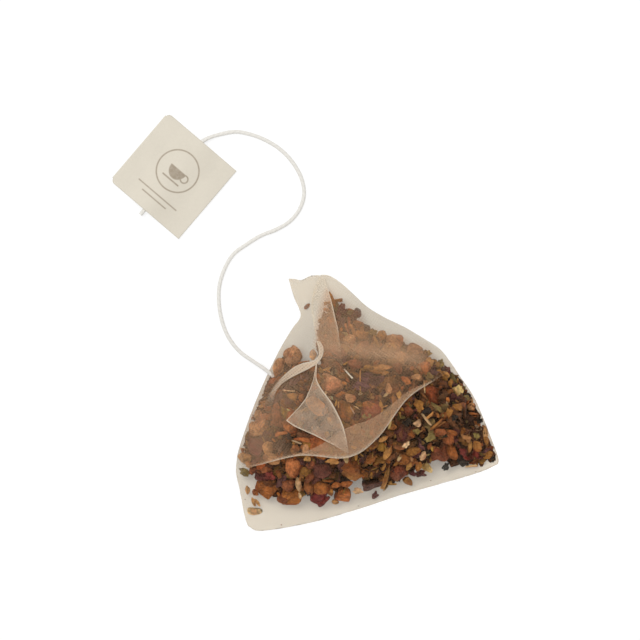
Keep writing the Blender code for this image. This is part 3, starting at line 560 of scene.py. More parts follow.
class Shader:
    """Adds nodes to one material, with short calls for the few kinds used here."""

    def __init__(self, name):
        self.material = bpy.data.materials.new(name)
        self.material.use_nodes = True
        self.nodes = self.material.node_tree.nodes
        self.links = self.material.node_tree.links
        self.surface = self.nodes["Principled BSDF"]

    def add(self, kind, **settings):
        node = self.nodes.new(kind)
        for key, value in settings.items():
            setattr(node, key, value)
        return node

    def put(self, value, socket):
        if hasattr(value, "links"):
            self.links.new(value, socket)
        else:
            socket.default_value = value

    def maths(self, operation, *values, clamp=False):
        node = self.add("ShaderNodeMath", operation=operation, use_clamp=clamp)
        for value, socket in zip(values, node.inputs):
            self.put(value, socket)
        return node.outputs[0]

    def attribute(self, name):
        return self.add("ShaderNodeAttribute", attribute_name=name)

    def coordinates(self):
        return self.add("ShaderNodeTexCoord").outputs["Object"]

    def surface_plan(self):
        """The two coordinates of the piece's own UV map."""
        parts = self.add("ShaderNodeSeparateXYZ")
        self.links.new(self.add("ShaderNodeUVMap", uv_map="UVMap").outputs[0], parts.inputs[0])
        return parts.outputs[0], parts.outputs[1]

    def noise(self, where, scale, detail=3.0, roughness=0.55):
        node = self.add("ShaderNodeTexNoise")
        node.inputs["Scale"].default_value = scale
        node.inputs["Detail"].default_value = detail
        node.inputs["Roughness"].default_value = roughness
        self.links.new(where, node.inputs["Vector"])
        return node.outputs["Fac"]

    def spread(self, value, low, high, to_low=0.0, to_high=1.0):
        node = self.add("ShaderNodeMapRange")
        for one, socket in zip((value, low, high, to_low, to_high), node.inputs):
            self.put(one, socket)
        return node.outputs[0]

    def mix(self, share, one, other, blend="MIX"):
        node = self.add("ShaderNodeMix", data_type="RGBA", blend_type=blend)
        self.put(share, node.inputs[0])
        self.put((*one, 1.0) if isinstance(one, tuple) else one, node.inputs[6])
        self.put((*other, 1.0) if isinstance(other, tuple) else other, node.inputs[7])
        return node.outputs[2]

    def bump(self, height, strength, distance):
        node = self.add("ShaderNodeBump")
        node.inputs["Strength"].default_value = strength
        node.inputs["Distance"].default_value = distance
        self.links.new(height, node.inputs["Height"])
        self.links.new(node.outputs[0], self.surface.inputs["Normal"])

    def finish(self, colour, roughness, **constants):
        self.put(colour, self.surface.inputs["Base Color"])
        self.surface.inputs["Roughness"].default_value = roughness
        for name, value in constants.items():
            self.surface.inputs[name.replace("_", " ")].default_value = value
        return self.material


def mesh_cloth(settings):
    """Thin plain weave. Its cover attribute is the share of light that it stops, and its tint attribute says
    how far it takes the painted shade and tea-coloured bounce light that it is given over the tea."""
    shader = Shader("mesh_cloth")
    plane = shader.add("ShaderNodeUVMap", uv_map="UVMap").outputs[0]
    uv = shader.add("ShaderNodeSeparateXYZ")
    shader.links.new(plane, uv.inputs[0])
    turn = 2 * math.pi / settings.weave
    threads = []
    for axis in (0, 1):
        wave = shader.maths("COSINE", shader.maths("MULTIPLY", uv.outputs[axis], turn))
        threads.append(shader.maths("POWER", shader.maths("MULTIPLY_ADD", wave, 0.5, 0.5), 1.6))
    weave = shader.maths("MAXIMUM", *threads)
    drawn_out = shader.add("ShaderNodeVectorMath", operation="MULTIPLY")
    shader.links.new(plane, drawn_out.inputs[0])
    drawn_out.inputs[1].default_value = (500.0, 2300.0, 1.0)
    streak = shader.spread(shader.noise(drawn_out.outputs[0], 1.0, 2.0, 0.5), 0.36, 0.64, -0.14, 0.14)
    woven = shader.maths("MULTIPLY", shader.maths("SUBTRACT", weave, 0.6), 0.75)
    dense = shader.attribute("cover").outputs["Fac"]
    seen = shader.spread(dense, 0.25, 0.5, 1.0, 0.08)
    uneven = shader.maths("MULTIPLY", shader.maths("ADD", streak, woven), seen)
    alpha = shader.maths("MULTIPLY", dense, shader.maths("ADD", uneven, 1.0), clamp=True)
    shader.links.new(alpha, shader.surface.inputs["Alpha"])
    tint = shader.attribute("tint").outputs["Fac"]
    # The tint mixes in painted shade and tea-coloured bounce light where the cloth lies over the tea.
    colour = shader.mix(tint, tuple(settings.colour), tuple(settings.tea_bounce_shade))
    shader.bump(weave, 0.25, 0.00003)
    return shader.finish(colour, 0.62, Sheen_Weight=0.15, Specular_IOR_Level=0.3)


def dried(name, roughness, grain, depth, contrast):
    """Dried plant matter: the stain attribute's colour, darker in its pits and lighter on its ridges, partly
    the grain's own mottling and partly painted shade and painted highlight.
    """
    shader = Shader(name)
    where = shader.coordinates()
    fine = shader.noise(where, grain, 5.0, 0.65)
    broad = shader.noise(where, grain * 0.28, 3.0, 0.5)
    both = shader.maths("MULTIPLY_ADD", fine, 0.6, shader.maths("MULTIPLY", broad, 0.4))
    # Darker where the bump is low, lighter where it is high: grain mottling with painted shade and highlight.
    shade = shader.spread(both, 0.40, 0.60, 1.0 - contrast, 1.0 + contrast * 0.9)
    stain = shader.attribute("stain").outputs["Color"]
    grey = shader.add("ShaderNodeCombineColor")
    for socket in grey.inputs:
        shader.put(shade, socket)
    colour = shader.mix(1.0, stain, grey.outputs[0], blend="MULTIPLY")
    shader.bump(both, 1.0, depth)
    return shader.finish(colour, roughness, Specular_IOR_Level=0.14)


def cotton(settings):
    """Twisted cotton: fine fibres along the ply, darker in the groove between the two strands, as painted
    shade.
    """
    shader = Shader("cotton_string")
    along, around = shader.surface_plan()
    lean = shader.maths("ADD", around, shader.maths("MULTIPLY", along, 1.0 / settings.twist))
    fibres_round = 9
    fibres = shader.maths("SINE", shader.maths("MULTIPLY", lean, 2 * math.pi * fibres_round))
    groove = shader.attribute("groove").outputs["Fac"]
    rough = shader.noise(shader.coordinates(), 4200.0, 3.0)
    height = shader.maths("MULTIPLY_ADD", fibres, 0.3, shader.maths("MULTIPLY", rough, 0.8))
    base = tuple(settings.cotton)
    # Painted shade in the groove between the two strands.
    colour = shader.mix(groove, tuple(0.93 * c for c in base), base)
    bright = tuple(min(1.0, 1.15 * c) for c in base)
    colour = shader.mix(shader.spread(rough, 0.35, 0.65, 0.0, 0.25), colour, bright)
    shader.bump(height, 0.3, 0.00005)
    return shader.finish(colour, 0.85, Sheen_Weight=0.3)


def card_with_print(settings):
    """Uncoated cream card with fine fibres. Where the print attribute is set, a thin ring with a plain cup
    and ruled lines are drawn in one ink, measured on the card's own UV map in metres from its middle."""
    shader = Shader("tag_card")
    across, up = shader.surface_plan()
    soft = 0.12 * MM
    line = 0.16 * MM
    ruled = 0.14 * MM
    cup_mouth = 2.0 * MM

    def inside(distance, reach):
        return shader.spread(distance, reach - soft, reach + soft, 1.0, 0.0)

    def away(place, middle):
        return shader.maths("ABSOLUTE", shader.maths("SUBTRACT", place, middle))

    def circle(x, y, reach_x, reach_y):
        dx = shader.maths("SUBTRACT", across, x)
        dy = shader.maths("MULTIPLY", shader.maths("SUBTRACT", up, y), reach_x / reach_y)
        squares = shader.maths("ADD", shader.maths("MULTIPLY", dx, dx), shader.maths("MULTIPLY", dy, dy))
        return shader.maths("SQRT", squares)

    def ring(x, y, radius):
        return inside(away(circle(x, y, radius, radius), radius), line)

    def bar(x, y, half_x, half_y):
        return shader.maths("MULTIPLY", inside(away(across, x), half_x), inside(away(up, y), half_y))

    bowl = inside(circle(0.0, cup_mouth, 2.2 * MM, 2.6 * MM), 2.2 * MM)
    marks = [
        ring(0.0, 1.5 * MM, 5.0 * MM),
        shader.maths("MULTIPLY", bowl, inside(up, cup_mouth)),
        ring(2.4 * MM, 1.0 * MM, 0.9 * MM),
        bar(0.0, -1.1 * MM, 2.4 * MM, 0.18 * MM),
        bar(0.0, -5.8 * MM, 5.8 * MM, ruled),
        bar(0.0, -7.1 * MM, 3.6 * MM, ruled),
    ]
    print_mask = marks[0]
    for mark in marks[1:]:
        print_mask = shader.maths("MAXIMUM", print_mask, mark)
    ink_share = shader.maths("MULTIPLY", print_mask, shader.attribute("print").outputs["Fac"])
    where = shader.coordinates()
    fibre = shader.noise(where, 1500.0, 4.0, 0.6)
    broad = shader.noise(where, 160.0, 2.0)
    paper = tuple(settings.paper)
    colour = shader.mix(shader.spread(fibre, 0.3, 0.7, 0.0, 1.0), tuple(0.96 * c for c in paper), paper)
    bright = tuple(min(1.0, 1.04 * c) for c in paper)
    colour = shader.mix(shader.spread(broad, 0.35, 0.65, 0.0, 0.5), colour, bright)
    worn = shader.maths("MULTIPLY", ink_share, shader.spread(fibre, 0.25, 0.6, 0.7, 0.95))
    colour = shader.mix(worn, colour, tuple(settings.ink))
    shader.bump(fibre, 0.25, 0.00004)
    return shader.finish(colour, 0.78, Specular_IOR_Level=0.3)


# The pouch.


class Sheet:
    """The pouch's top sheet: smooth curves through the rows' stations, and smooth curves through the rows."""

    def __init__(self, rim, pleat):
        lower = np.array(LOWER_ROWS, float)
        upper = np.array(UPPER_ROWS, float)
        both = np.concatenate([lower, upper])
        least, most = both.min(axis=(0, 1)), both.max(axis=(0, 1))
        low, high = POUCH_BOX
        self.middle = ((least + most) / 2)[:2]
        self.scale = (high - low)[:2] / (most - least)[:2]
        self.centre = ((low + high) / 2)[:2]
        rise = (high[2] - 2 * pleat - rim) / most[2]
        for rows in (lower, upper):
            rows[..., :2] = self.plan(rows[..., :2])
            rows[..., 2] = rows[..., 2] * rise + rim
        self.rim, self.pleat = rim, pleat
        self.lower, self.upper = lower, upper
        self.stations = np.linspace(0.0, 1.0, lower.shape[1])

    def plan(self, points):
        """Places given in millimetres, fitted to the frame's pouch."""
        return (np.array(points, float) - self.middle) * self.scale + self.centre

    def rows(self, u):
        """The sheet as blocks of rows over the columns u: the front, the tuck and the back. In the tuck the
        cloth turns back under the pleat's edge and forward again, so that it lies in three layers."""
        taper = np.sin(np.pi * u)[:, None] ** 0.6
        lower = through(self.stations, self.lower.transpose(1, 0, 2), u).transpose(1, 0, 2)
        upper = through(self.stations, self.upper.transpose(1, 0, 2), u).transpose(1, 0, 2)
        share = np.clip(through(self.stations, np.array(TUCK_SHARE), u), 0.0, 1.0)[:, None]
        edge = lower[-1]
        lifted = edge + taper * np.array((0.0, 0.0, self.pleat))
        behind = upper[0]
        tuck = lifted * (1 - share) + behind * share
        drop = taper * np.array((0.0, 0.0, 1.0))
        low_tuck = tuck - drop * (self.pleat * (1 - share) + TUCK_DEPTH * share)
        mid_tuck = tuck - drop * (self.pleat * 0.5 * (1 - share) + 0.5 * TUCK_DEPTH * share)
        mid_edge = edge + drop * self.pleat * 0.5
        back = np.array((0.0, TUCK_TURN, 0.0)) * taper
        front = through(np.arange(len(lower)), lower, np.linspace(0.0, len(lower) - 1.0, FRONT_ROWS))
        under = np.linspace(0.0, 1.0, TUCK_ROWS)[1:, None, None]
        under = edge[None] * (1 - under) + low_tuck[None] * under
        turn = ((low_tuck + mid_tuck) / 2 + back)[None]
        middle = np.linspace(0.0, 1.0, TUCK_ROWS)[:, None, None]
        middle = mid_tuck[None] * (1 - middle) + mid_edge[None] * middle
        crest = ((mid_edge + lifted) / 2 - back * 1.5)[None]
        knots = np.concatenate([[0.0], 1.0 + np.arange(len(upper))])
        rear_rows = np.concatenate([lifted[None], upper])
        rear = through(knots, rear_rows, np.linspace(0.0, knots[-1], REAR_ROWS))
        for block in (front, rear):
            block[..., 2] = np.maximum(block[..., 2], self.rim)
        return front, under, turn, middle, crest, rear

    def roof(self, columns=900, rows=420):
        """The lowest layer of the top sheet as one dense grid, which the tea lies under."""
        front, _, _, _, _, rear = self.rows(np.linspace(0.0, 1.0, columns))
        sheet = np.concatenate([front, rear[1:]])
        return through(np.arange(len(sheet)), sheet, np.linspace(0.0, len(sheet) - 1.0, rows))


class HeightMap:
    """Heights of a dense grid of points over a square net: each cell keeps the highest point that falls in
    it. Between the cells' middles the height is the weighted mean of the four around it. Empty cells lie at
    zero."""

    def __init__(self, grid, cell=0.00025):
        flat = grid.reshape(-1, 3)
        self.cell = cell
        self.low = flat[:, :2].min(axis=0) - 3 * cell
        size = np.ceil((flat[:, :2].max(axis=0) - self.low) / cell).astype(int) + 4
        self.field = np.zeros(size)
        index = ((flat[:, :2] - self.low) / cell).astype(int)
        np.maximum.at(self.field, (index[:, 0], index[:, 1]), flat[:, 2])

    def at(self, places):
        """The height over each place, and zero outside the grid."""
        spot = (np.asarray(places)[..., :2] - self.low) / self.cell - 0.5
        least = np.clip(np.floor(spot).astype(int), 0, np.array(self.field.shape) - 2)
        share = np.clip(spot - least, 0.0, 1.0)
        x, y = least[..., 0], least[..., 1]
        sx, sy = share[..., 0], share[..., 1]
        return (
            self.field[x, y] * (1 - sx) * (1 - sy) + self.field[x + 1, y] * sx * (1 - sy)
            + self.field[x, y + 1] * (1 - sx) * sy + self.field[x + 1, y + 1] * sx * sy
        )


def waves(points, amount, wavelength, seed, count=7):
    """Soft uneven waves: the sum of a few plane waves in seeded directions."""
    rng = np.random.default_rng(seed)
    total = np.zeros(points.shape[:-1])
    for _ in range(count):
        angle = rng.uniform(0, 2 * math.pi)
        way = np.array((math.cos(angle), math.sin(angle)))
        way = way * 2 * math.pi / (wavelength * rng.uniform(0.7, 1.5))
        total = total + np.sin(points[..., :2] @ way + rng.uniform(0, 2 * math.pi))
    return amount * total / math.sqrt(count)


def inside_outline(points, outline):
    """Whether each point lies inside a closed outline: a ray to the right crosses an odd number of sides."""
    ends = np.roll(outline, -1, axis=0)
    y = points[:, 1][:, None]
    crosses = (outline[None, :, 1] > y) != (ends[None, :, 1] > y)
    rise = ends[:, 1] - outline[:, 1]
    rise = np.where(np.abs(rise) < 1e-12, 1e-12, rise)
    at = outline[:, 0] + (y - outline[:, 1]) / rise * (ends[:, 0] - outline[:, 0])
    return (crosses & (points[:, 0][:, None] < at)).sum(axis=1) % 2 == 1


def outline_distance(points, outline):
    """How far each point lies from the nearest side of a closed outline."""
    ends = np.roll(outline, -1, axis=0)
    side = ends - outline
    offset = points[:, None] - outline[None]
    t = np.clip((offset * side).sum(axis=2) / np.maximum((side**2).sum(axis=1), 1e-16), 0.0, 1.0)
    return np.linalg.norm(offset - t[..., None] * side, axis=2).min(axis=1)


def large_pieces():
    """The middles and the half sizes, seen from above, of the frame's large pieces of tea."""
    boxes = np.array([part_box(node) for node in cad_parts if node.rsplit("_")[0] in PIECE_COLOURS])
    return boxes[:, :, :2].mean(axis=1), (boxes[:, 1, :2] - boxes[:, 0, :2]) / 2


def tea_share(places, sheet):
    """One over the tea heap and each large piece. It falls to nothing at 1.8 mm from the heap, and at 1.3
    times a large piece's own size."""
    outline = sheet.plan(HEAP_EDGE)
    flat = places.reshape(-1, 2)
    distance = outline_distance(flat, outline)
    signed = np.where(inside_outline(flat, outline), distance, -distance)
    middle, half = large_pieces()
    nearest = np.sqrt((((flat[:, None] - middle) / half) ** 2).sum(axis=2)).min(axis=1)
    share = np.maximum(signed / (1.5 * MM) + 1.2, (1.3 - nearest) / 0.3)
    return np.clip(share, 0.0, 1.0).reshape(places.shape[:-1])


def ribbon(left, right, along, across):
    """Plan points between two lines, by their shares of length, closer together near both lines. Also returns
    the share of length of each row, and how far each point lies from the nearer line."""
    knots = np.unique(np.round(np.concatenate([
        np.linspace(0, 1, along),
        lengths(left) / lengths(left)[-1],
        lengths(right) / lengths(right)[-1],
    ]), 4))
    edges = []
    for line in (left, right):
        far = lengths(line) / lengths(line)[-1]
        edges.append(np.column_stack([np.interp(knots, far, line[:, axis]) for axis in range(2)]))
    share = (0.5 - 0.5 * np.cos(np.pi * np.linspace(0.0, 1.0, across)))[None, :]
    width = np.linalg.norm(edges[0] - edges[1], axis=1)[:, None]
    plan = edges[0][:, None] * (1 - share[..., None]) + edges[1][:, None] * share[..., None]
    return plan, knots, np.minimum(share, 1 - share) * width


def soft_step(value, low, high):
    """A smooth rise from nothing at low to one at high."""
    share = np.clip((value - low) / (high - low), 0.0, 1.0)
    return share * share * (3 - 2 * share)


def spline(line, count):
    """Points spread evenly over a smooth curve through the line's own points."""
    far = lengths(line)
    return through(far, line, np.linspace(0.0, far[-1], count))


def haze(plan, sheet):
    """How dense the cloth behind the pleat looks at each place: a middle value, a ridge and soft spots."""
    ridge = spline(sheet.plan(HAZE_RIDGE), 60)
    near = np.linalg.norm(plan[..., None, :] - ridge, axis=-1).min(axis=-1)
    cover = HAZE_MIDDLE + HAZE_RIDGE_COVER * np.exp(-((near / (1.7 * MM)) ** 2))
    for x, y, reach_x, reach_y, amount in HAZE_SPOTS:
        centre = sheet.plan((x, y))
        away = (plan - centre) / (np.array((reach_x, reach_y)) * MM)
        cover = cover + amount * np.exp(-(away**2).sum(axis=-1))
    return np.clip(cover, 0.05, 0.7)


class OBJECT_OT_mesh_pouch(bpy.types.Operator):
    """Build the folded mesh pouch: two sheets joined round their rim, a pleat, a folded corner and a seam"""

    bl_idname = "teabag.mesh_pouch"
    bl_label = "Mesh Pouch"

    def execute(self, context):
        cloth = context.scene.tea_bag_cloth
        sheet = Sheet(cloth.rim, cloth.pleat)
        even = np.linspace(0.0, 1.0, 121)
        u = 0.55 * (0.5 - 0.5 * np.cos(np.pi * even)) + 0.45 * even
        front, under, turn, middle, crest, rear = sheet.rows(u)
        top = np.concatenate([front, under, turn, middle, crest, rear])
        plan = top[..., :2].copy()
        inner_row = len(front) + len(under)
        crest_row = inner_row + 1 + len(middle)
        away = outline_distance(plan.reshape(-1, 2), self.outline(top)).reshape(plan.shape[:2])
        cover, tint = self.sheet_look(sheet, u, plan, away, (len(front), inner_row, crest_row))
        fade = np.clip(away / (3 * MM), 0.0, 1.0)
        top[..., 2] += waves(top, *SHEET_WAVES) * fade
        top[:len(front), :, 2] += waves(top[:len(front)], *FRONT_WAVES) * fade[:len(front)]
        top[..., 2] = np.maximum(top[..., 2], cloth.rim)
        floor_rows = np.concatenate([np.arange(len(front)), np.arange(crest_row + 1, len(top))])
        floor = top[floor_rows].copy()
        floor[..., 2] = cloth.rim - 0.7 * cloth.rim * np.clip(away[floor_rows] / MM, 0.0, 1.0)
        # The lower sheet's cover is partly real cloth and partly painted shade for the table under the pouch.
        under_cover_and_shade = np.full(floor.shape[:2], UNDERSIDE_COVER_AND_SHADE)
        layers = [
            (top, plan, cover, tint, SHEET_THREADS),
            (floor, floor[..., :2], under_cover_and_shade, np.zeros_like(under_cover_and_shade), SHEET_THREADS),
        ]
        for upper, lower, fold_cover, fold_tint in self.folds(sheet, cloth, HeightMap(sheet.roof())):
            for grid in (upper, lower):
                shown_tint = tea_share(grid[..., :2], sheet) * fold_tint
                layers.append((grid, grid[..., :2], fold_cover, shown_tint, LAYER_THREADS))
        quads, start = [], 0
        for grid, *_ in layers:
            quads.append(grid_quads(*grid.shape[:2], first=start))
            start += grid.shape[0] * grid.shape[1]
        covers = np.concatenate([layer[2].ravel() for layer in layers])
        made = make_mesh(
            "pouch_cloth", np.concatenate([layer[0].reshape(-1, 3) for layer in layers]),
            np.concatenate(quads),
            surface=mesh_cloth(cloth),
            attributes={
                "cover": 1 - np.sqrt(1 - covers),
                "tint": np.concatenate([layer[3].ravel() for layer in layers]),
            },
            uv=np.concatenate([(layer[1] @ np.array(layer[4])).reshape(-1, 2) for layer in layers]),
        )
        close_seams(made)
        wall = made.modifiers.new("cloth thickness", "SOLIDIFY")
        wall.thickness = cloth.thickness
        wall.offset = 0.0
        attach(made, "root")
        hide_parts("pouch")
        return {"FINISHED"}

    @staticmethod
    def sheet_look(sheet, u, plan, away, rows):
        """The cover and the tint of every point of the top sheet. The pleat shows brightest in its middle
        stretch, partly from its doubled cloth and partly as a painted highlight, where the tea's painted
        shade is taken off its crest, and the rim and the cloth that touches no tea are never quite clear."""
        front_end, inner_row, crest_row = rows
        cover = np.full(plan.shape[:2], FRONT_COVER)
        cover[front_end:crest_row] = TUCK_COVER
        cover[crest_row + 1:] = haze(plan[crest_row + 1:], sheet)
        bright = soft_step(u, 0.10, 0.24) * (1 - soft_step(u, 0.78, 0.92))
        tucked = soft_step(u, 0.26, 0.36) * (1 - soft_step(u, 0.60, 0.76))
        cover[inner_row] += INNER_FOLD_COVER * tucked
        cover[crest_row] = PLEAT_COVER[0] + PLEAT_COVER[1] * bright
        for row, added in enumerate(BEHIND_PLEAT_COVER):
            cover[crest_row + 1 + row] += added * bright
        cover = np.maximum(cover, RIM_COVER * np.clip(1 - away / (0.4 * MM), 0.0, 1.0))
        # Over the tea the cloth gets painted shade and tea-coloured bounce light, by this share.
        tint = tea_share(plan, sheet)
        clean = CLEAN_COVER * (1 - tint)
        clean[:front_end] *= 0.35
        # The tea's painted shade is taken off the crest: a painted highlight along the pleat.
        tint[crest_row - 1:crest_row + 2] *= 1 - 0.7 * bright
        return np.clip(np.maximum(cover, clean), 0.0, 0.95), tint

    @staticmethod
    def outline(top):
        """The sheet's edge seen from above, as every sixth point round it."""
        around = [top[0, :, :2], top[1:, -1, :2], top[-1, -2::-1, :2], top[-2:0:-1, 0, :2]]
        return np.concatenate(around)[::6]

    @staticmethod
    def folds(sheet, cloth, roof):
        """Each layer that lies on the top sheet: an upper and a lower grid that meet round their edge, the
        cover of each of their points, and how far they take the tea's painted shade and bounce light. The
        cover rises to the edge's along both sides and fades out along the length. Near the edges the tea's
        painted shade is taken off, a painted highlight that partly stands for the denser cloth there."""

        def layer(left, right, columns, lift, cover, edge, tint, fade_from, mottle=0.0):
            """One layer between two edge lines. The two grids part by the sine of the way across."""
            plan, along, near = ribbon(left, right, 60, columns)
            under = np.maximum(roof.at(plan), cloth.rim) + waves(plan, *SHEET_WAVES)
            puff = np.sin(np.pi * np.linspace(0, 1, columns))[None, :]
            puff = puff * np.minimum(1.0, np.sin(np.pi * along) * 3)[:, None]
            lit = 1 - soft_step(along, 0.7 * fade_from, 0.6 + 0.4 * fade_from)
            # Near each edge the cover rises and the tea's painted shade is taken off: denser cloth there, and
            # a painted highlight.
            glow = np.exp(-((near / (0.28 * MM)) ** 2)) * lit[:, None]
            uneven = cover * (1 + waves(plan, mottle, 3.5 * MM, 11))
            shown = (uneven + (edge - uneven) * glow) * (1 - soft_step(along, fade_from, 1.0))[:, None]
            upper = np.dstack([plan, under + lift * (1 + 0.6 * puff)])
            lower = np.dstack([plan, under + lift * (1 - 0.6 * puff)])
            return upper, lower, shown, tint * (1 - 0.75 * glow)

        def smooth(line, count):
            """A soft line through the points read from the photograph."""
            return spline(sheet.plan(line), count)

        flap = layer(
            sheet.plan(FLAP_EDGE), smooth(FLAP_HINGE, 40), 26,
            lift=0.34 * MM, cover=0.21, edge=0.85, tint=0.55,
            fade_from=0.999, mottle=0.16)
        strip = layer(
            smooth(STRIP_LEFT, 40), smooth(STRIP_RIGHT, 40), 20,
            lift=0.24 * MM, cover=0.25, edge=0.75, tint=0.9,
            fade_from=0.5)
        seam = layer(
            smooth(SEAM_UPPER, 50), smooth(SEAM_LOWER, 50), 11,
            lift=0.28 * MM, cover=0.64, edge=0.72, tint=0.4,
            fade_from=0.45)
        return flap, strip, seam


# The tea.


def ball(rings, sides):
    """A closed grid of directions: rings of points from pole to pole, with single points at the poles.
    Returns the directions, the four-cornered faces and the three-cornered ones at the poles."""
    polar = np.linspace(0.0, math.pi, rings + 2)[1:-1]
    turn = np.arange(sides) * 2 * math.pi / sides
    around = np.stack([
        np.sin(polar)[:, None] * np.cos(turn)[None, :],
        np.sin(polar)[:, None] * np.sin(turn)[None, :],
        np.cos(polar)[:, None] * np.ones(sides)[None, :],
    ], axis=-1).reshape(-1, 3)
    directions = np.vstack([around, (0.0, 0.0, 1.0), (0.0, 0.0, -1.0)])
    quads = grid_quads(rings, sides, wrap=True)[:, ::-1]
    top, bottom = len(around), len(around) + 1
    c = np.arange(sides)
    after = (c + 1) % sides
    last = (rings - 1) * sides
    caps = np.concatenate([
        np.column_stack([np.full(sides, top), c, after]),
        np.column_stack([np.full(sides, bottom), last + after, last + c]),
    ])
    return directions, quads, caps


def chunk_form(directions, rng, faces=8, sharp=36.0, rough=0.03):
    """A broken block: the distance to the surface is that of a rounded many-sided solid whose sides face
    seeded ways, with small dents from a sum of sine waves."""
    ways = rng.normal(size=(faces, 3))
    ways /= np.linalg.norm(ways, axis=1)[:, None]
    reach = rng.uniform(0.5, 1.0, faces)
    sides = np.maximum(directions @ ways.T / reach, 0.0)
    radius = np.maximum((sides**sharp).sum(axis=1), 0.02) ** (-1 / sharp)
    dents = 0.0
    for step in range(4):
        way = rng.normal(0.0, 5.0 + 4 * step, 3)
        dents = dents + np.sin(directions @ way + rng.uniform(0, 6)) / (1 + step)
    return directions * (radius * (1 + rough * dents))[:, None]


def shard_form(directions, rng):
    """A broken block drawn out along one way and pressed along another."""
    return chunk_form(directions, rng) * np.array((1.0, rng.uniform(0.45, 0.85), rng.uniform(0.3, 0.6)))


def petal_form(directions, rng, thin=0.10, crumple=0.28):
    """A crumpled flat scrap: a ball pressed thin, with a scalloped outline, bent by waves across it."""
    angle = np.arctan2(directions[:, 1], directions[:, 0])
    scallop = 1 + sum(0.13 * np.sin((k + 2) * angle + rng.uniform(0, 6)) for k in range(4))
    x = directions[:, 0] * scallop
    y = directions[:, 1] * scallop * rng.uniform(0.5, 0.8)
    bend = 0.0
    for k in range(4):
        one, other = rng.normal(0, 2.2 + k), rng.normal(0, 2.2 + k)
        bend = bend + crumple / (1 + 0.6 * k) * np.sin(x * one + y * other + rng.uniform(0, 6))
    return np.column_stack([x, y, directions[:, 2] * thin + bend])


def flake_form(directions, rng):
    """A thin torn flake: a pressed ball with a jagged outline, bent over one line."""
    angle = np.arctan2(directions[:, 1], directions[:, 0])
    jag = 1 + sum(0.12 * np.sin((2 * k + 3) * angle + rng.uniform(0, 6)) for k in range(3))
    x = directions[:, 0] * jag
    y = directions[:, 1] * jag * rng.uniform(0.35, 0.7)
    bend = rng.uniform(0.15, 0.5) * np.abs(y) + 0.18 * np.sin(2.2 * x + rng.uniform(0, 6))
    return np.column_stack([x, y, directions[:, 2] * 0.07 + bend])


def splinter_form(directions, rng):
    """A split bit of stem: long, blunt and three-sided, with a slight bend."""
    x = np.sign(directions[:, 0]) * np.abs(directions[:, 0]) ** 0.4
    ring = np.maximum(np.linalg.norm(directions[:, 1:], axis=1), 1e-6)
    turn = np.arctan2(directions[:, 2], directions[:, 1])
    girth = rng.uniform(0.10, 0.19) * np.minimum(1.0, ring * 4)
    girth = girth * (1 + 0.25 * np.cos(3 * turn + rng.uniform(0, 6)))
    girth = girth * (1 + 0.15 * np.sin(7 * x + rng.uniform(0, 6)))
    side = directions[:, 1:] / ring[:, None]
    bend = 0.12 * np.sin(1.5 * x + rng.uniform(0, 6))
    return np.column_stack([x, side[:, 0] * girth + bend, side[:, 1] * girth])


def husk_form(directions, rng):
    """A split husk: a boat whose hollow side is pushed in."""
    x = directions[:, 0]
    y = directions[:, 1] * rng.uniform(0.34, 0.5) * (1 - 0.3 * x**2)
    z = np.where(directions[:, 2] > 0, -0.18 + 1.2 * y**2, directions[:, 2] * 0.32)
    z = z + 0.18 * x**2 + 0.03 * np.sin(12 * y + 3 * x)
    return np.column_stack([x, y, z])


def turned(points, yaw, tilt, roll):
    """Points turned about X by roll, about Y by tilt and about Z by yaw, for lists of angles at once."""

    def matrix(angle, one, two):
        """The turns by each angle in the plane of two axes."""
        made = np.zeros((len(angle), 3, 3))
        made[:] = np.eye(3)
        made[:, one, one] = made[:, two, two] = np.cos(angle)
        made[:, one, two] = -np.sin(angle)
        made[:, two, one] = np.sin(angle)
        return made

    spin = matrix(yaw, 0, 1) @ matrix(tilt, 0, 2) @ matrix(roll, 1, 2)
    return np.einsum("nij,nkj->nki", spin, points)


def stain_of(tea, word, rng, spread=0.22):
    """One of the tea's named colours: lighter or darker, and a little redder or yellower."""
    tone = math.exp(rng.normal(0.0, spread))
    warm = np.array((1.0, math.exp(rng.normal(0.0, 0.45 * spread)), math.exp(rng.normal(0.0, 0.7 * spread))))
    return np.clip(np.array(getattr(tea, word)) * tone * warm, 0.004, 0.8)


def fill_box(points, low, high):
    """The points stretched so that they just fill a box."""
    least, most = points.min(axis=0), points.max(axis=0)
    return low + (points - least) / (most - least) * (high - low)


def pitted(points, rng, amount=0.05, waves_each=7):
    """The piece's points pushed in and out from its middle by three octaves of seeded sine waves, and how far
    each was pushed, from -1 to 1, so that its pits can be painted darker and its bumps lighter, as painted
    shade and painted highlight."""
    middle = points.mean(axis=0)
    size = np.abs(points - middle).max()
    push = np.zeros(len(points))
    for octave in range(3):
        for _ in range(waves_each):
            way = rng.normal(size=3)
            way *= (3.4 * 2.0**octave) / (np.linalg.norm(way) * size)
            push += np.sin(points @ way * 2 + rng.uniform(0, 6.3)) / (1.6**octave)
    push /= np.abs(push).max()
    return middle + (points - middle) * (1 + amount * push)[:, None], push


def skin(points, stain, rng):
    """The piece's own colour on most of it, and a darker, redder skin where it faces one seeded way."""
    way = rng.normal(size=3)
    way /= np.linalg.norm(way)
    middle = points.mean(axis=0)
    reach = (points - middle) @ way
    share = np.clip((reach / max(1e-9, np.abs(reach).max()) - 0.35) * 4, 0.0, 1.0)[:, None]
    return stain * (1 - share) + stain * np.array((0.70, 0.55, 0.52)) * share


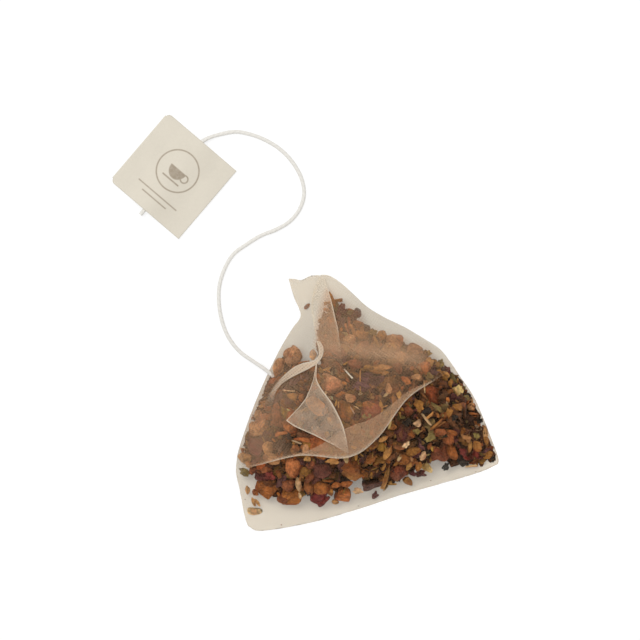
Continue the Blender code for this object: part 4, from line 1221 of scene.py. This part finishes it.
def make_nodes(kind, surface, tea, roof, forms, rings=26, sides=40):
    """One detailed piece for each of the frame's solids of that kind, pressed down under the cloth."""
    for name in sorted(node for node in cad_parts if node.startswith(kind + "_")):
        number = int(name.split("_")[1])
        rng = np.random.default_rng(1000 * (1 + list(PIECE_COLOURS).index(kind)) + number)
        directions, quads, caps = ball(rings, sides)
        points = forms[number % len(forms)](directions, rng)
        angles = rng.uniform(0, 6.3), rng.normal(0, 0.15), rng.normal(0, 0.15)
        points = turned(points[None], *(np.array([angle]) for angle in angles))[0]
        low, high = (np.array(corner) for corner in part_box(name))
        grow = (high - low) * np.array((0.04, 0.04, 0.0))
        points, push = pitted(points, rng, 0.06 if kind == "fruit" else 0.04)
        points = fill_box(points, low - grow, high + grow)
        ceiling = np.maximum(roof.at(points) - tea.gap - PIECE_ROOM, low[2] + PIECE_LEAST)
        points[:, 2] = np.minimum(points[:, 2], ceiling)
        stain = skin(points, stain_of(tea, PIECE_COLOURS[kind][number - 1], rng), rng)
        # Painted shade in the pits and painted highlight on the bumps.
        stain = np.clip(stain * (1 + 0.45 * push)[:, None], 0.003, 0.9)
        made = make_mesh(f"{name}_piece", points, quads, caps, surface, attributes={"stain": stain})
        made.data.set_sharp_from_angle(angle=math.radians(CREASE_DEGREES))
        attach(made, "root")
        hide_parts(name)


def tea_roof(context):
    """The top sheet, and the height map of its lowest layer."""
    cloth = context.scene.tea_bag_cloth
    sheet = Sheet(cloth.rim, cloth.pleat)
    return sheet, HeightMap(sheet.roof())


class OBJECT_OT_dried_fruit(bpy.types.Operator):
    """Build the large pieces of dried fruit"""

    bl_idname = "teabag.dried_fruit"
    bl_label = "Dried Fruit"

    def execute(self, context):
        surface = dried("fruit_surface", 0.6, 1700.0, 0.0009, 0.5)
        _, roof = tea_roof(context)
        make_nodes("fruit", surface, context.scene.tea_bag_tea, roof, (chunk_form,))
        return {"FINISHED"}


class OBJECT_OT_dried_petals(bpy.types.Operator):
    """Build the large crumpled petals"""

    bl_idname = "teabag.dried_petals"
    bl_label = "Dried Petals"

    def execute(self, context):
        surface = dried("petal_surface", 0.5, 1700.0, 0.0006, 0.5)
        _, roof = tea_roof(context)
        make_nodes("petal", surface, context.scene.tea_bag_tea, roof, (petal_form, chunk_form))
        return {"FINISHED"}


class OBJECT_OT_dried_leaves(bpy.types.Operator):
    """Build the large leaf shreds and husks"""

    bl_idname = "teabag.dried_leaves"
    bl_label = "Dried Leaves"

    def execute(self, context):
        surface = dried("leaf_surface", 0.6, 1500.0, 0.0004, 0.4)
        _, roof = tea_roof(context)
        make_nodes("leaf", surface, context.scene.tea_bag_tea, roof, (flake_form, husk_form))
        return {"FINISHED"}


class OBJECT_OT_dried_stems(bpy.types.Operator):
    """Build the large bit of stem"""

    bl_idname = "teabag.dried_stems"
    bl_label = "Dried Stems"

    def execute(self, context):
        surface = dried("stem_surface", 0.6, 1800.0, 0.0002, 0.35)
        _, roof = tea_roof(context)
        make_nodes("stem", surface, context.scene.tea_bag_tea, roof, (splinter_form,))
        return {"FINISHED"}


def scatter(sheet, rng, count):
    """Seeded places inside the heap's outline, evenly spread: steps of an irrational sequence, shaken."""
    outline = sheet.plan(HEAP_EDGE)
    low, high = outline.min(axis=0), outline.max(axis=0)
    index = np.arange(count * 3)
    steps = np.array((0.7548776662, 0.5698402910))
    places = low + ((0.5 + index[:, None] * steps) % 1.0) * (high - low)
    places += rng.normal(0.0, CRUMB_SHAKE, places.shape)
    return places[inside_outline(places, outline)][:count]


def drawn_in(places, reach, edge):
    """The places, moved inwards where they are nearer to the pouch's edge than their reach."""
    step = 0.01 * MM
    room = outline_distance(places, edge)
    ahead = [outline_distance(places + way, edge) - room for way in ((step, 0.0), (0.0, step))]
    inwards = np.column_stack(ahead) / step
    return places + inwards * np.maximum(reach + CRUMB_EDGE_ROOM - room, 0.0)[:, None]


def on_large_piece(places):
    """Whether each place lies well inside the outline of one of the large pieces."""
    middle, half = large_pieces()
    return ((((places[:, None] - middle) / half) ** 2).sum(axis=2) < 0.8).any(axis=1)


def under_placed_piece(places, sheet):
    """Whether each place lies well inside the outline of one of the placed pieces."""
    pieces = [piece for kind in PLACED.values() for piece in kind]
    middle = sheet.plan([piece[:2] for piece in pieces])
    half = np.array([piece[2:4] for piece in pieces]) * MM / 2
    turn = np.radians([piece[4] for piece in pieces])
    offset = places[:, None] - middle
    along = offset[..., 0] * np.cos(turn) + offset[..., 1] * np.sin(turn)
    across = offset[..., 1] * np.cos(turn) - offset[..., 0] * np.sin(turn)
    return ((along / half[:, 0]) ** 2 + (across / half[:, 1]) ** 2 < 0.9).any(axis=1)


def join_pieces(name, slot, points, stains, quads, caps, smooth):
    """One mesh of many small pieces whose faces have the same layout, in the finish of their slot. The smooth
    ones keep their creases."""
    shift = (np.arange(len(points)) * points.shape[1])[:, None, None]
    made = make_mesh(
        name, points.reshape(-1, 3), (quads[None] + shift).reshape(-1, 4),
        (caps[None] + shift).reshape(-1, 3), bpy.data.materials[slot.replace("dried_", "") + "_surface"],
        smooth=smooth, attributes={"stain": stains.reshape(-1, 3)},
    )
    if smooth:
        made.data.set_sharp_from_angle(angle=math.radians(CREASE_DEGREES))
    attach(made, "root")


def make_crumbs(name, slot, form, places, depths, sizes, stains, roof, gap, rng, flat, rings, sides):
    """Many small pieces in one mesh, flat-faced as broken ones are: a dozen forms, each turned, scaled and
    sunk to its depth under the cloth, with every point kept between the cloth and the table. What lies deep
    under the cloth is painted darker, as painted shade. Pieces that would pass the pouch's edge are left out."""
    kinds = 12
    directions, quads, caps = ball(rings, sides)
    shapes = np.array([form(directions, np.random.default_rng(50 + k)) for k in range(kinds)])
    count = len(places)
    points = shapes[np.arange(count) % kinds] * sizes[:, None, None]
    yaw = rng.uniform(0, 2 * math.pi, count)
    points = turned(points, yaw, rng.normal(0, flat, count), rng.normal(0, flat, count))
    top = points[..., 2].max(axis=1)
    points[..., :2] += places[:, None]
    level = np.maximum(roof.at(places) - gap - depths, CRUMB_LOWEST_TOP)
    points[..., 2] += (np.minimum(level, roof.at(places) - gap) - top)[:, None]
    ceiling = roof.at(points) - gap
    keep = ceiling.min(axis=1) > -0.5 * gap
    points, stains, ceiling = points[keep], stains[keep], ceiling[keep]
    points[..., 2] = np.minimum(np.maximum(points[..., 2], TABLE_ROOM), np.maximum(ceiling, CRUMB_CEILING))
    # Painted shade: darker the deeper a point lies under the cloth.
    sunk = np.clip((ceiling - points[..., 2]) / DEEP_SHADE_DEPTH, 0.0, 1.0)
    stains = stains[:, None] * (1 - DEEP_SHADE * sunk)[..., None]
    join_pieces(name, slot, points, stains, quads, caps, smooth=False)


# How each kind is made: its form, its slot, its least and greatest reach, its tilt, and the rings and sides
# of its mesh.
CRUMB_MAKING = {
    "shard": (shard_form, "dried_fruit", (0.5, 2.3), 0.6, 5, 8),
    "petal": (petal_form, "dried_petal", (0.6, 2.1), 0.6, 3, 13),
    "flake": (flake_form, "dried_leaf", (0.6, 2.0), 0.5, 3, 13),
    "husk": (husk_form, "dried_stem", (0.6, 1.6), 0.5, 5, 8),
    "splinter": (splinter_form, "dried_stem", (0.8, 2.4), 0.25, 5, 6),
}

# How each placed form is made: its function, its slot, and its height as a share of its width.
PLACED_MAKING = {
    "chunk": (chunk_form, "dried_fruit", 0.7),
    "petal": (petal_form, "dried_petal", 0.5),
    "flake": (flake_form, "dried_leaf", 0.4),
    "husk": (husk_form, "dried_stem", 0.5),
    "splinter": (splinter_form, "dried_stem", 0.9),
}


class OBJECT_OT_placed_tea(bpy.types.Operator):
    """Build the pieces that stand out, each stretched to its size, turned, and set just under the cloth"""

    bl_idname = "teabag.placed_tea"
    bl_label = "Placed Tea"

    def execute(self, context):
        tea = context.scene.tea_bag_tea
        sheet, roof = tea_roof(context)
        directions, quads, caps = ball(13, 22)
        for kind, (form, slot, rise) in PLACED_MAKING.items():
            rng = np.random.default_rng(300 + len(kind))
            points, stains = [], []
            for x, y, length, width, turn, word in PLACED[kind]:
                shape, push = pitted(form(directions, rng), rng)
                half = np.array((length, width, rise * width)) * MM / 2
                shape = fill_box(shape, -half, half)
                angles = math.radians(turn), rng.normal(0, 0.1), rng.normal(0, 0.1)
                shape = turned(shape[None], *(np.array([angle]) for angle in angles))[0]
                place = sheet.plan((x, y))
                shape += (*place, float(roof.at(place)) - tea.gap - shape[:, 2].max())
                ceiling = np.maximum(roof.at(shape) - tea.gap, PIECE_CEILING)
                shape[:, 2] = np.minimum(np.maximum(shape[:, 2], TABLE_ROOM), ceiling)
                points.append(shape)
                # Painted shade in the pits and painted highlight on the bumps.
                stain = skin(shape, stain_of(tea, word, rng, 0.08), rng) * (1 + 0.30 * push)[:, None]
                stains.append(np.clip(stain, 0.003, 0.9))
            join_pieces(f"{kind}_pieces", slot, np.array(points), np.array(stains), quads, caps, smooth=True)
        return {"FINISHED"}


class OBJECT_OT_tea_crumbs(bpy.types.Operator):
    """Build the small broken pieces that fill the pouch between the large ones"""

    bl_idname = "teabag.tea_crumbs"
    bl_label = "Tea Crumbs"

    def execute(self, context):
        tea = context.scene.tea_bag_tea
        sheet, roof = tea_roof(context)
        rng = np.random.default_rng(tea.seed)
        self.crumbs(tea, sheet, roof, rng)
        self.bed(tea, sheet, roof, rng)
        return {"FINISHED"}

    @staticmethod
    def crumbs(tea, sheet, roof, rng):
        """The crumbs of each kind, with more of some kinds to the left and of others to the right."""
        places = scatter(sheet, rng, tea.crumbs)
        front, _, _, _, _, rear = sheet.rows(np.linspace(0.0, 1.0, 60))
        edge = OBJECT_OT_mesh_pouch.outline(np.concatenate([front, rear[1:]]))
        start, end = MIX_CHANGE
        right = np.clip((places[:, 0] / MM - start) / (end - start), 0.0, 1.0)
        least, more = CRUMBS_ON_PIECES
        shown = ~on_large_piece(places) | (rng.uniform(0, 1, len(places)) < least + more * right)
        shown &= ~under_placed_piece(places, sheet)
        places, right = places[shown], right[shown]
        draw = rng.uniform(0, 1, len(places))
        reach = 0.0
        for name, left_share, right_share, palette in CRUMB_KINDS:
            share = left_share + (right_share - left_share) * right
            mine = (draw >= reach) & (draw < reach + share)
            reach = reach + share
            form, slot, (least, most), flat, rings, sides = CRUMB_MAKING[name]
            count = int(mine.sum())
            sizes = (least + (most - least) * rng.uniform(0, 1, count) ** 1.9) * MM
            spots = drawn_in(places[mine], sizes * 0.75, edge)
            depths = rng.uniform(0.0, 1.0, count) ** 1.3 * CRUMB_DEPTH * MM
            words = rng.choice([word for word, _ in palette], count, p=[part for _, part in palette])
            stains = np.array([stain_of(tea, word, rng) for word in words]) * CRUMB_SHADE
            make_crumbs(
                f"{name}_crumbs", slot, form, spots, depths, sizes, stains, roof, tea.gap, rng, flat, rings,
                sides)

    @staticmethod
    def bed(tea, sheet, roof, rng):
        """Dark pieces deep in the heap, which close the gaps between the others: brown pieces painted much
        darker, as painted shade in the gaps.
        """
        places = scatter(sheet, rng, tea.bed)
        room = outline_distance(places, sheet.plan(HEAP_EDGE))
        clear = room > BED_ROOM
        places, room = places[clear], room[clear]
        sizes = np.minimum(rng.uniform(*BED_SIZES, len(places)) * MM, room)
        # Painted shade: the bed's brown is darkened to stand for the shadow between the pieces.
        stains = np.array([stain_of(tea, "brown", rng) * BED_PAINTED_SHADE for _ in places])
        depths = np.maximum(roof.at(places) * BED_DEPTH_SHARE, BED_LEAST_DEPTH)
        make_crumbs(
            "bed_crumbs", "dried_fruit", chunk_form, places, depths, sizes, stains, roof, tea.gap, rng, 0.6,
            5, 8)


# The string and the tag.


def string_line(sheet, line):
    """The string's centre line: out of the pouch, over the table and through the tag."""
    radius = line.diameter / 2
    inside = sheet.plan(STRING_INSIDE)
    shift = inside[-1] - np.array(STRING_INSIDE[-1]) * MM
    route = np.array(STRING_ROUTE) * MM
    route = route + shift * np.linspace(1.0, 0.0, len(route))[:, None] ** 2
    angle = math.radians(TAG_TURN_DEGREES)
    way = -np.array((math.cos(angle), math.sin(angle)))
    centre = np.array(TAG_CENTRE) * MM
    reach = np.linspace(-line.side / 2 - radius, line.side / 2 + STRING_END, 6)
    through_tag = centre + way * reach[:, None]
    flat = np.vstack([inside, route, through_tag])
    in_pouch = STRING_IN_POUCH + radius
    in_tag = line.card + STRING_PLAY + radius
    level = np.concatenate(
        [[in_pouch] * 2, [(in_pouch + radius) / 2], [radius] * (len(route) - 1), [in_tag] * len(through_tag)]
    )
    points = np.column_stack([flat, level])
    far = lengths(points)
    drawn = through(far, points, np.linspace(0.0, far[-1], 700))
    drawn[:, 2] = np.maximum(drawn[:, 2], radius)
    return drawn


class OBJECT_OT_cotton_string(bpy.types.Operator):
    """Build the twisted cotton string: two plies carried along the route, with a fibre bump"""

    bl_idname = "teabag.cotton_string"
    bl_label = "Cotton String"

    def execute(self, context):
        line = context.scene.tea_bag_line
        cloth = context.scene.tea_bag_cloth
        path = string_line(Sheet(cloth.rim, cloth.pleat), line)
        sides = 20
        way = np.gradient(path, axis=0)
        way /= np.linalg.norm(way, axis=1)[:, None]
        side = np.cross(way, (0.0, 0.0, 1.0))
        side /= np.linalg.norm(side, axis=1)[:, None]
        up = np.cross(side, way)
        far = lengths(path)
        turn = np.arange(sides) * 2 * math.pi / sides
        phase = turn[None, :] - far[:, None] * 2 * math.pi / line.twist
        groove = 0.5 + 0.5 * np.cos(2 * phase)
        radius = line.diameter / 2 * (0.97 + 0.03 * groove)
        radius *= (1 + waves(np.column_stack([far, far * 0]), *STRING_WAVES))[:, None]
        rings = path[:, None] + radius[..., None] * (
            np.cos(turn)[None, :, None] * side[:, None] + np.sin(turn)[None, :, None] * up[:, None]
        )
        rings[..., 2] = np.maximum(rings[..., 2], 0.0)
        count = len(path) * sides
        points = np.vstack([rings.reshape(-1, 3), path[0], path[-1]])
        c = np.arange(sides)
        after = (c + 1) % sides
        last = (len(path) - 1) * sides
        caps = np.concatenate([
            np.column_stack([np.full(sides, count), after, c]),
            np.column_stack([np.full(sides, count + 1), last + c, last + after]),
        ])
        along = np.repeat(far[:, None], sides, axis=1)
        around = np.repeat(turn[None] / (2 * math.pi), len(path), axis=0)
        uv = np.stack([along, around], axis=-1).reshape(-1, 2)
        uv = np.vstack([uv, (0.0, 0.0), (far[-1], 0.0)])
        made = make_mesh(
            "cotton_string", points, grid_quads(len(path), sides, wrap=True), caps, cotton(line),
            attributes={"groove": np.append(groove.ravel(), (0.5, 0.5))}, uv=uv,
        )
        close_seams(made, 1e-8)
        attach(made, "root")
        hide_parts("string")
        return {"FINISHED"}


class OBJECT_OT_folded_tag(bpy.types.Operator):
    """Build the folded card tag: one leaf below the string, round the fold, and back over it"""

    bl_idname = "teabag.folded_tag"
    bl_label = "Folded Tag"

    def execute(self, context):
        line = context.scene.tea_bag_line
        half = line.side / 2
        card = line.card
        hill = line.diameter + 0.16 * MM
        hill_reach = 6.5 * MM
        corner = 1.1 * MM

        def leaf(across):
            """The half length along the string and the gap between the leaves, at each place across."""
            depth = np.clip(corner - (half - across), 0.0, corner)
            reach = half - corner + np.sqrt(corner**2 - depth**2)
            rise = np.clip(1 - np.abs(across) / hill_reach, 0.0, 1.0)
            return reach, hill * (3 * rise**2 - 2 * rise**3)

        rounding = half - corner * np.cos(np.linspace(0.0, math.pi / 2, 14))[1:]
        across = np.concatenate([np.linspace(-half, half - corner, 84), rounding])
        across[-1] = half - 0.02 * MM
        reach, gap = leaf(across)
        lower = np.column_stack([across, np.full(len(across), card / 2), reach])
        upper = np.column_stack([across[::-1], (card * 1.52 + gap)[::-1], reach[::-1]])
        turn = np.linspace(-math.pi / 2, math.pi / 2, 9)[1:-1]
        middle = (lower[-1] + upper[0]) / 2
        bend = np.column_stack([
            middle[0] + 0.5 * card * np.cos(turn),
            middle[1] + 0.5 * (upper[0, 1] - lower[-1, 1]) * np.sin(turn),
            np.full(len(turn), lower[-1, 2]),
        ])
        profile = np.vstack([lower, bend, upper])
        share = np.linspace(-1.0, 1.0, 72)
        grid = np.zeros((len(share), len(profile), 3))
        grid[..., 0] = share[:, None] * profile[None, :, 2]
        grid[..., 1] = profile[None, :, 0]
        grid[..., 2] = profile[None, :, 1]
        open_end = np.clip((half - profile[None, :, 0]) / (2 * half), 0, 1) ** 2
        wavy = np.sin(share * 4.2 + 0.6)[:, None] * open_end
        grid[..., 2] += 0.12 * MM * (1 + wavy) * (profile[None, :, 1] > card)
        top_face = np.zeros(grid.shape[:2])
        top_face[:, len(lower) + len(bend):] = 1.0
        uv = np.stack([-grid[..., 1], grid[..., 0]], axis=-1).reshape(-1, 2)
        angle = math.radians(TAG_TURN_DEGREES)
        spin = np.array(((math.cos(angle), -math.sin(angle)), (math.sin(angle), math.cos(angle))))
        grid[..., :2] = grid[..., :2] @ spin.T + np.array(TAG_CENTRE) * MM
        made = make_mesh(
            "folded_tag", grid.reshape(-1, 3), grid_quads(*grid.shape[:2]), surface=card_with_print(line),
            attributes={"print": top_face.ravel()}, uv=uv,
        )
        wall = made.modifiers.new("card thickness", "SOLIDIFY")
        wall.thickness = card
        wall.offset = 0.0
        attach(made, "root")
        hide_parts("tag")
        return {"FINISHED"}


# The stage.


class OBJECT_OT_stage(bpy.types.Operator):
    """Build the white table, the soft light and the camera that looks straight down"""

    bl_idname = "teabag.stage"
    bl_label = "Stage"

    def execute(self, context):
        stage = context.scene.tea_bag_stage
        self.floor()
        self.lights(stage)
        middle_pixel = PICTURE_SIDE / 2
        right = (middle_pixel - ORIGIN_IN_PICTURE[0]) / PIXELS_PER_METRE
        up = (ORIGIN_IN_PICTURE[1] - middle_pixel) / PIXELS_PER_METRE
        data = bpy.data.cameras.new("camera")
        data.sensor_width = 36.0
        data.lens = data.sensor_width * stage.distance * PIXELS_PER_METRE / PICTURE_SIDE
        data.clip_start = 0.05
        data.clip_end = 10.0
        camera = bpy.data.objects.new("camera", data)
        camera.location = (right, up, stage.distance)
        context.scene.collection.objects.link(camera)
        context.scene.camera = camera
        context.scene.view_settings.view_transform = "Standard"
        context.scene.cycles.transparent_max_bounces = 32
        return {"FINISHED"}

    @staticmethod
    def floor():
        """A white table that shows pale to the camera and keeps the shadows."""
        shader = Shader("white_table")
        nodes, links = shader.nodes, shader.links
        nodes.remove(shader.surface)
        out = nodes["Material Output"]
        plain = shader.add("ShaderNodeBsdfDiffuse")
        plain.inputs["Color"].default_value = (TABLE_GREY, TABLE_GREY, TABLE_GREY, 1)
        lit = shader.add("ShaderNodeBsdfDiffuse")
        lit.inputs["Color"].default_value = (SEEN_GREY, SEEN_GREY, SEEN_GREY, 1)
        glow = shader.add("ShaderNodeEmission")
        glow.inputs["Strength"].default_value = SEEN_GLOW
        both = shader.add("ShaderNodeAddShader")
        links.new(lit.outputs[0], both.inputs[0])
        links.new(glow.outputs[0], both.inputs[1])
        path = shader.add("ShaderNodeLightPath")
        seen = shader.maths("MAXIMUM", path.outputs["Is Camera Ray"], path.outputs["Is Glossy Ray"])
        seen = shader.maths("MAXIMUM", seen, path.outputs["Is Transmission Ray"])
        choose = shader.add("ShaderNodeMixShader")
        links.new(seen, choose.inputs[0])
        links.new(plain.outputs[0], choose.inputs[1])
        links.new(both.outputs[0], choose.inputs[2])
        links.new(choose.outputs[0], out.inputs["Surface"])
        reach = 2.0
        corners = np.array([(-reach, -reach, 0), (reach, -reach, 0), (reach, reach, 0), (-reach, reach, 0)])
        make_mesh("floor", corners, np.array([[0, 1, 2, 3]]), surface=shader.material, smooth=False)

    @staticmethod
    def lights(stage):
        """Even light from all round, white where the camera sees it, and one large soft lamp."""
        world = bpy.data.worlds.new("soft_sky")
        world.use_nodes = True
        nodes, links = world.node_tree.nodes, world.node_tree.links
        sky = nodes["Background"]
        sky.inputs["Color"].default_value = (1.0, 1.0, 1.0, 1.0)
        sky.inputs["Strength"].default_value = stage.sky
        seen = nodes.new("ShaderNodeBackground")
        seen.inputs["Strength"].default_value = 1.0
        seen.inputs["Color"].default_value = (1.0, 1.0, 1.0, 1.0)
        path = nodes.new("ShaderNodeLightPath")
        choose = nodes.new("ShaderNodeMixShader")
        links.new(path.outputs["Is Camera Ray"], choose.inputs[0])
        links.new(sky.outputs[0], choose.inputs[1])
        links.new(seen.outputs[0], choose.inputs[2])
        links.new(choose.outputs[0], nodes["World Output"].inputs["Surface"])
        bpy.context.scene.world = world
        data = bpy.data.lights.new("soft_lamp", "AREA")
        data.shape = "DISK"
        data.size = LAMP_WIDTH
        data.energy = stage.key
        lamp = bpy.data.objects.new("soft_lamp", data)
        lamp.location = LAMP_PLACE
        lamp.rotation_euler = (-Vector(lamp.location)).to_track_quat("-Z", "Y").to_euler()
        bpy.context.scene.collection.objects.link(lamp)


OPERATORS = (
    OBJECT_OT_stage,
    OBJECT_OT_mesh_pouch,
    OBJECT_OT_dried_fruit,
    OBJECT_OT_dried_petals,
    OBJECT_OT_dried_leaves,
    OBJECT_OT_dried_stems,
    OBJECT_OT_placed_tea,
    OBJECT_OT_tea_crumbs,
    OBJECT_OT_folded_tag,
    OBJECT_OT_cotton_string,
)


class VIEW3D_PT_tea_bag(bpy.types.Panel):
    """Lists the tea bag's pieces and their settings"""

    bl_label = "Pyramid Tea Bag"
    bl_idname = "VIEW3D_PT_tea_bag"
    bl_space_type = "VIEW_3D"
    bl_region_type = "UI"
    bl_category = "Tea Bag"

    def draw(self, context):
        for operator in OPERATORS:
            self.layout.operator(operator.bl_idname)
        for name, group in SETTINGS:
            box = self.layout.box()
            box.label(text=group.__doc__)
            for key in group.__annotations__:
                box.prop(getattr(context.scene, name), key)


def register():
    for _, group in SETTINGS:
        bpy.utils.register_class(group)
    for name, group in SETTINGS:
        setattr(bpy.types.Scene, name, PointerProperty(type=group))
    for operator in OPERATORS:
        bpy.utils.register_class(operator)
    bpy.utils.register_class(VIEW3D_PT_tea_bag)


def unregister():
    bpy.utils.unregister_class(VIEW3D_PT_tea_bag)
    for operator in reversed(OPERATORS):
        bpy.utils.unregister_class(operator)
    for name, group in reversed(SETTINGS):
        delattr(bpy.types.Scene, name)
        bpy.utils.unregister_class(group)


def main():
    register()
    for operator in OPERATORS:
        group, name = operator.bl_idname.split(".")
        getattr(getattr(bpy.ops, group), name)()


if __name__ == "__main__":
    main()
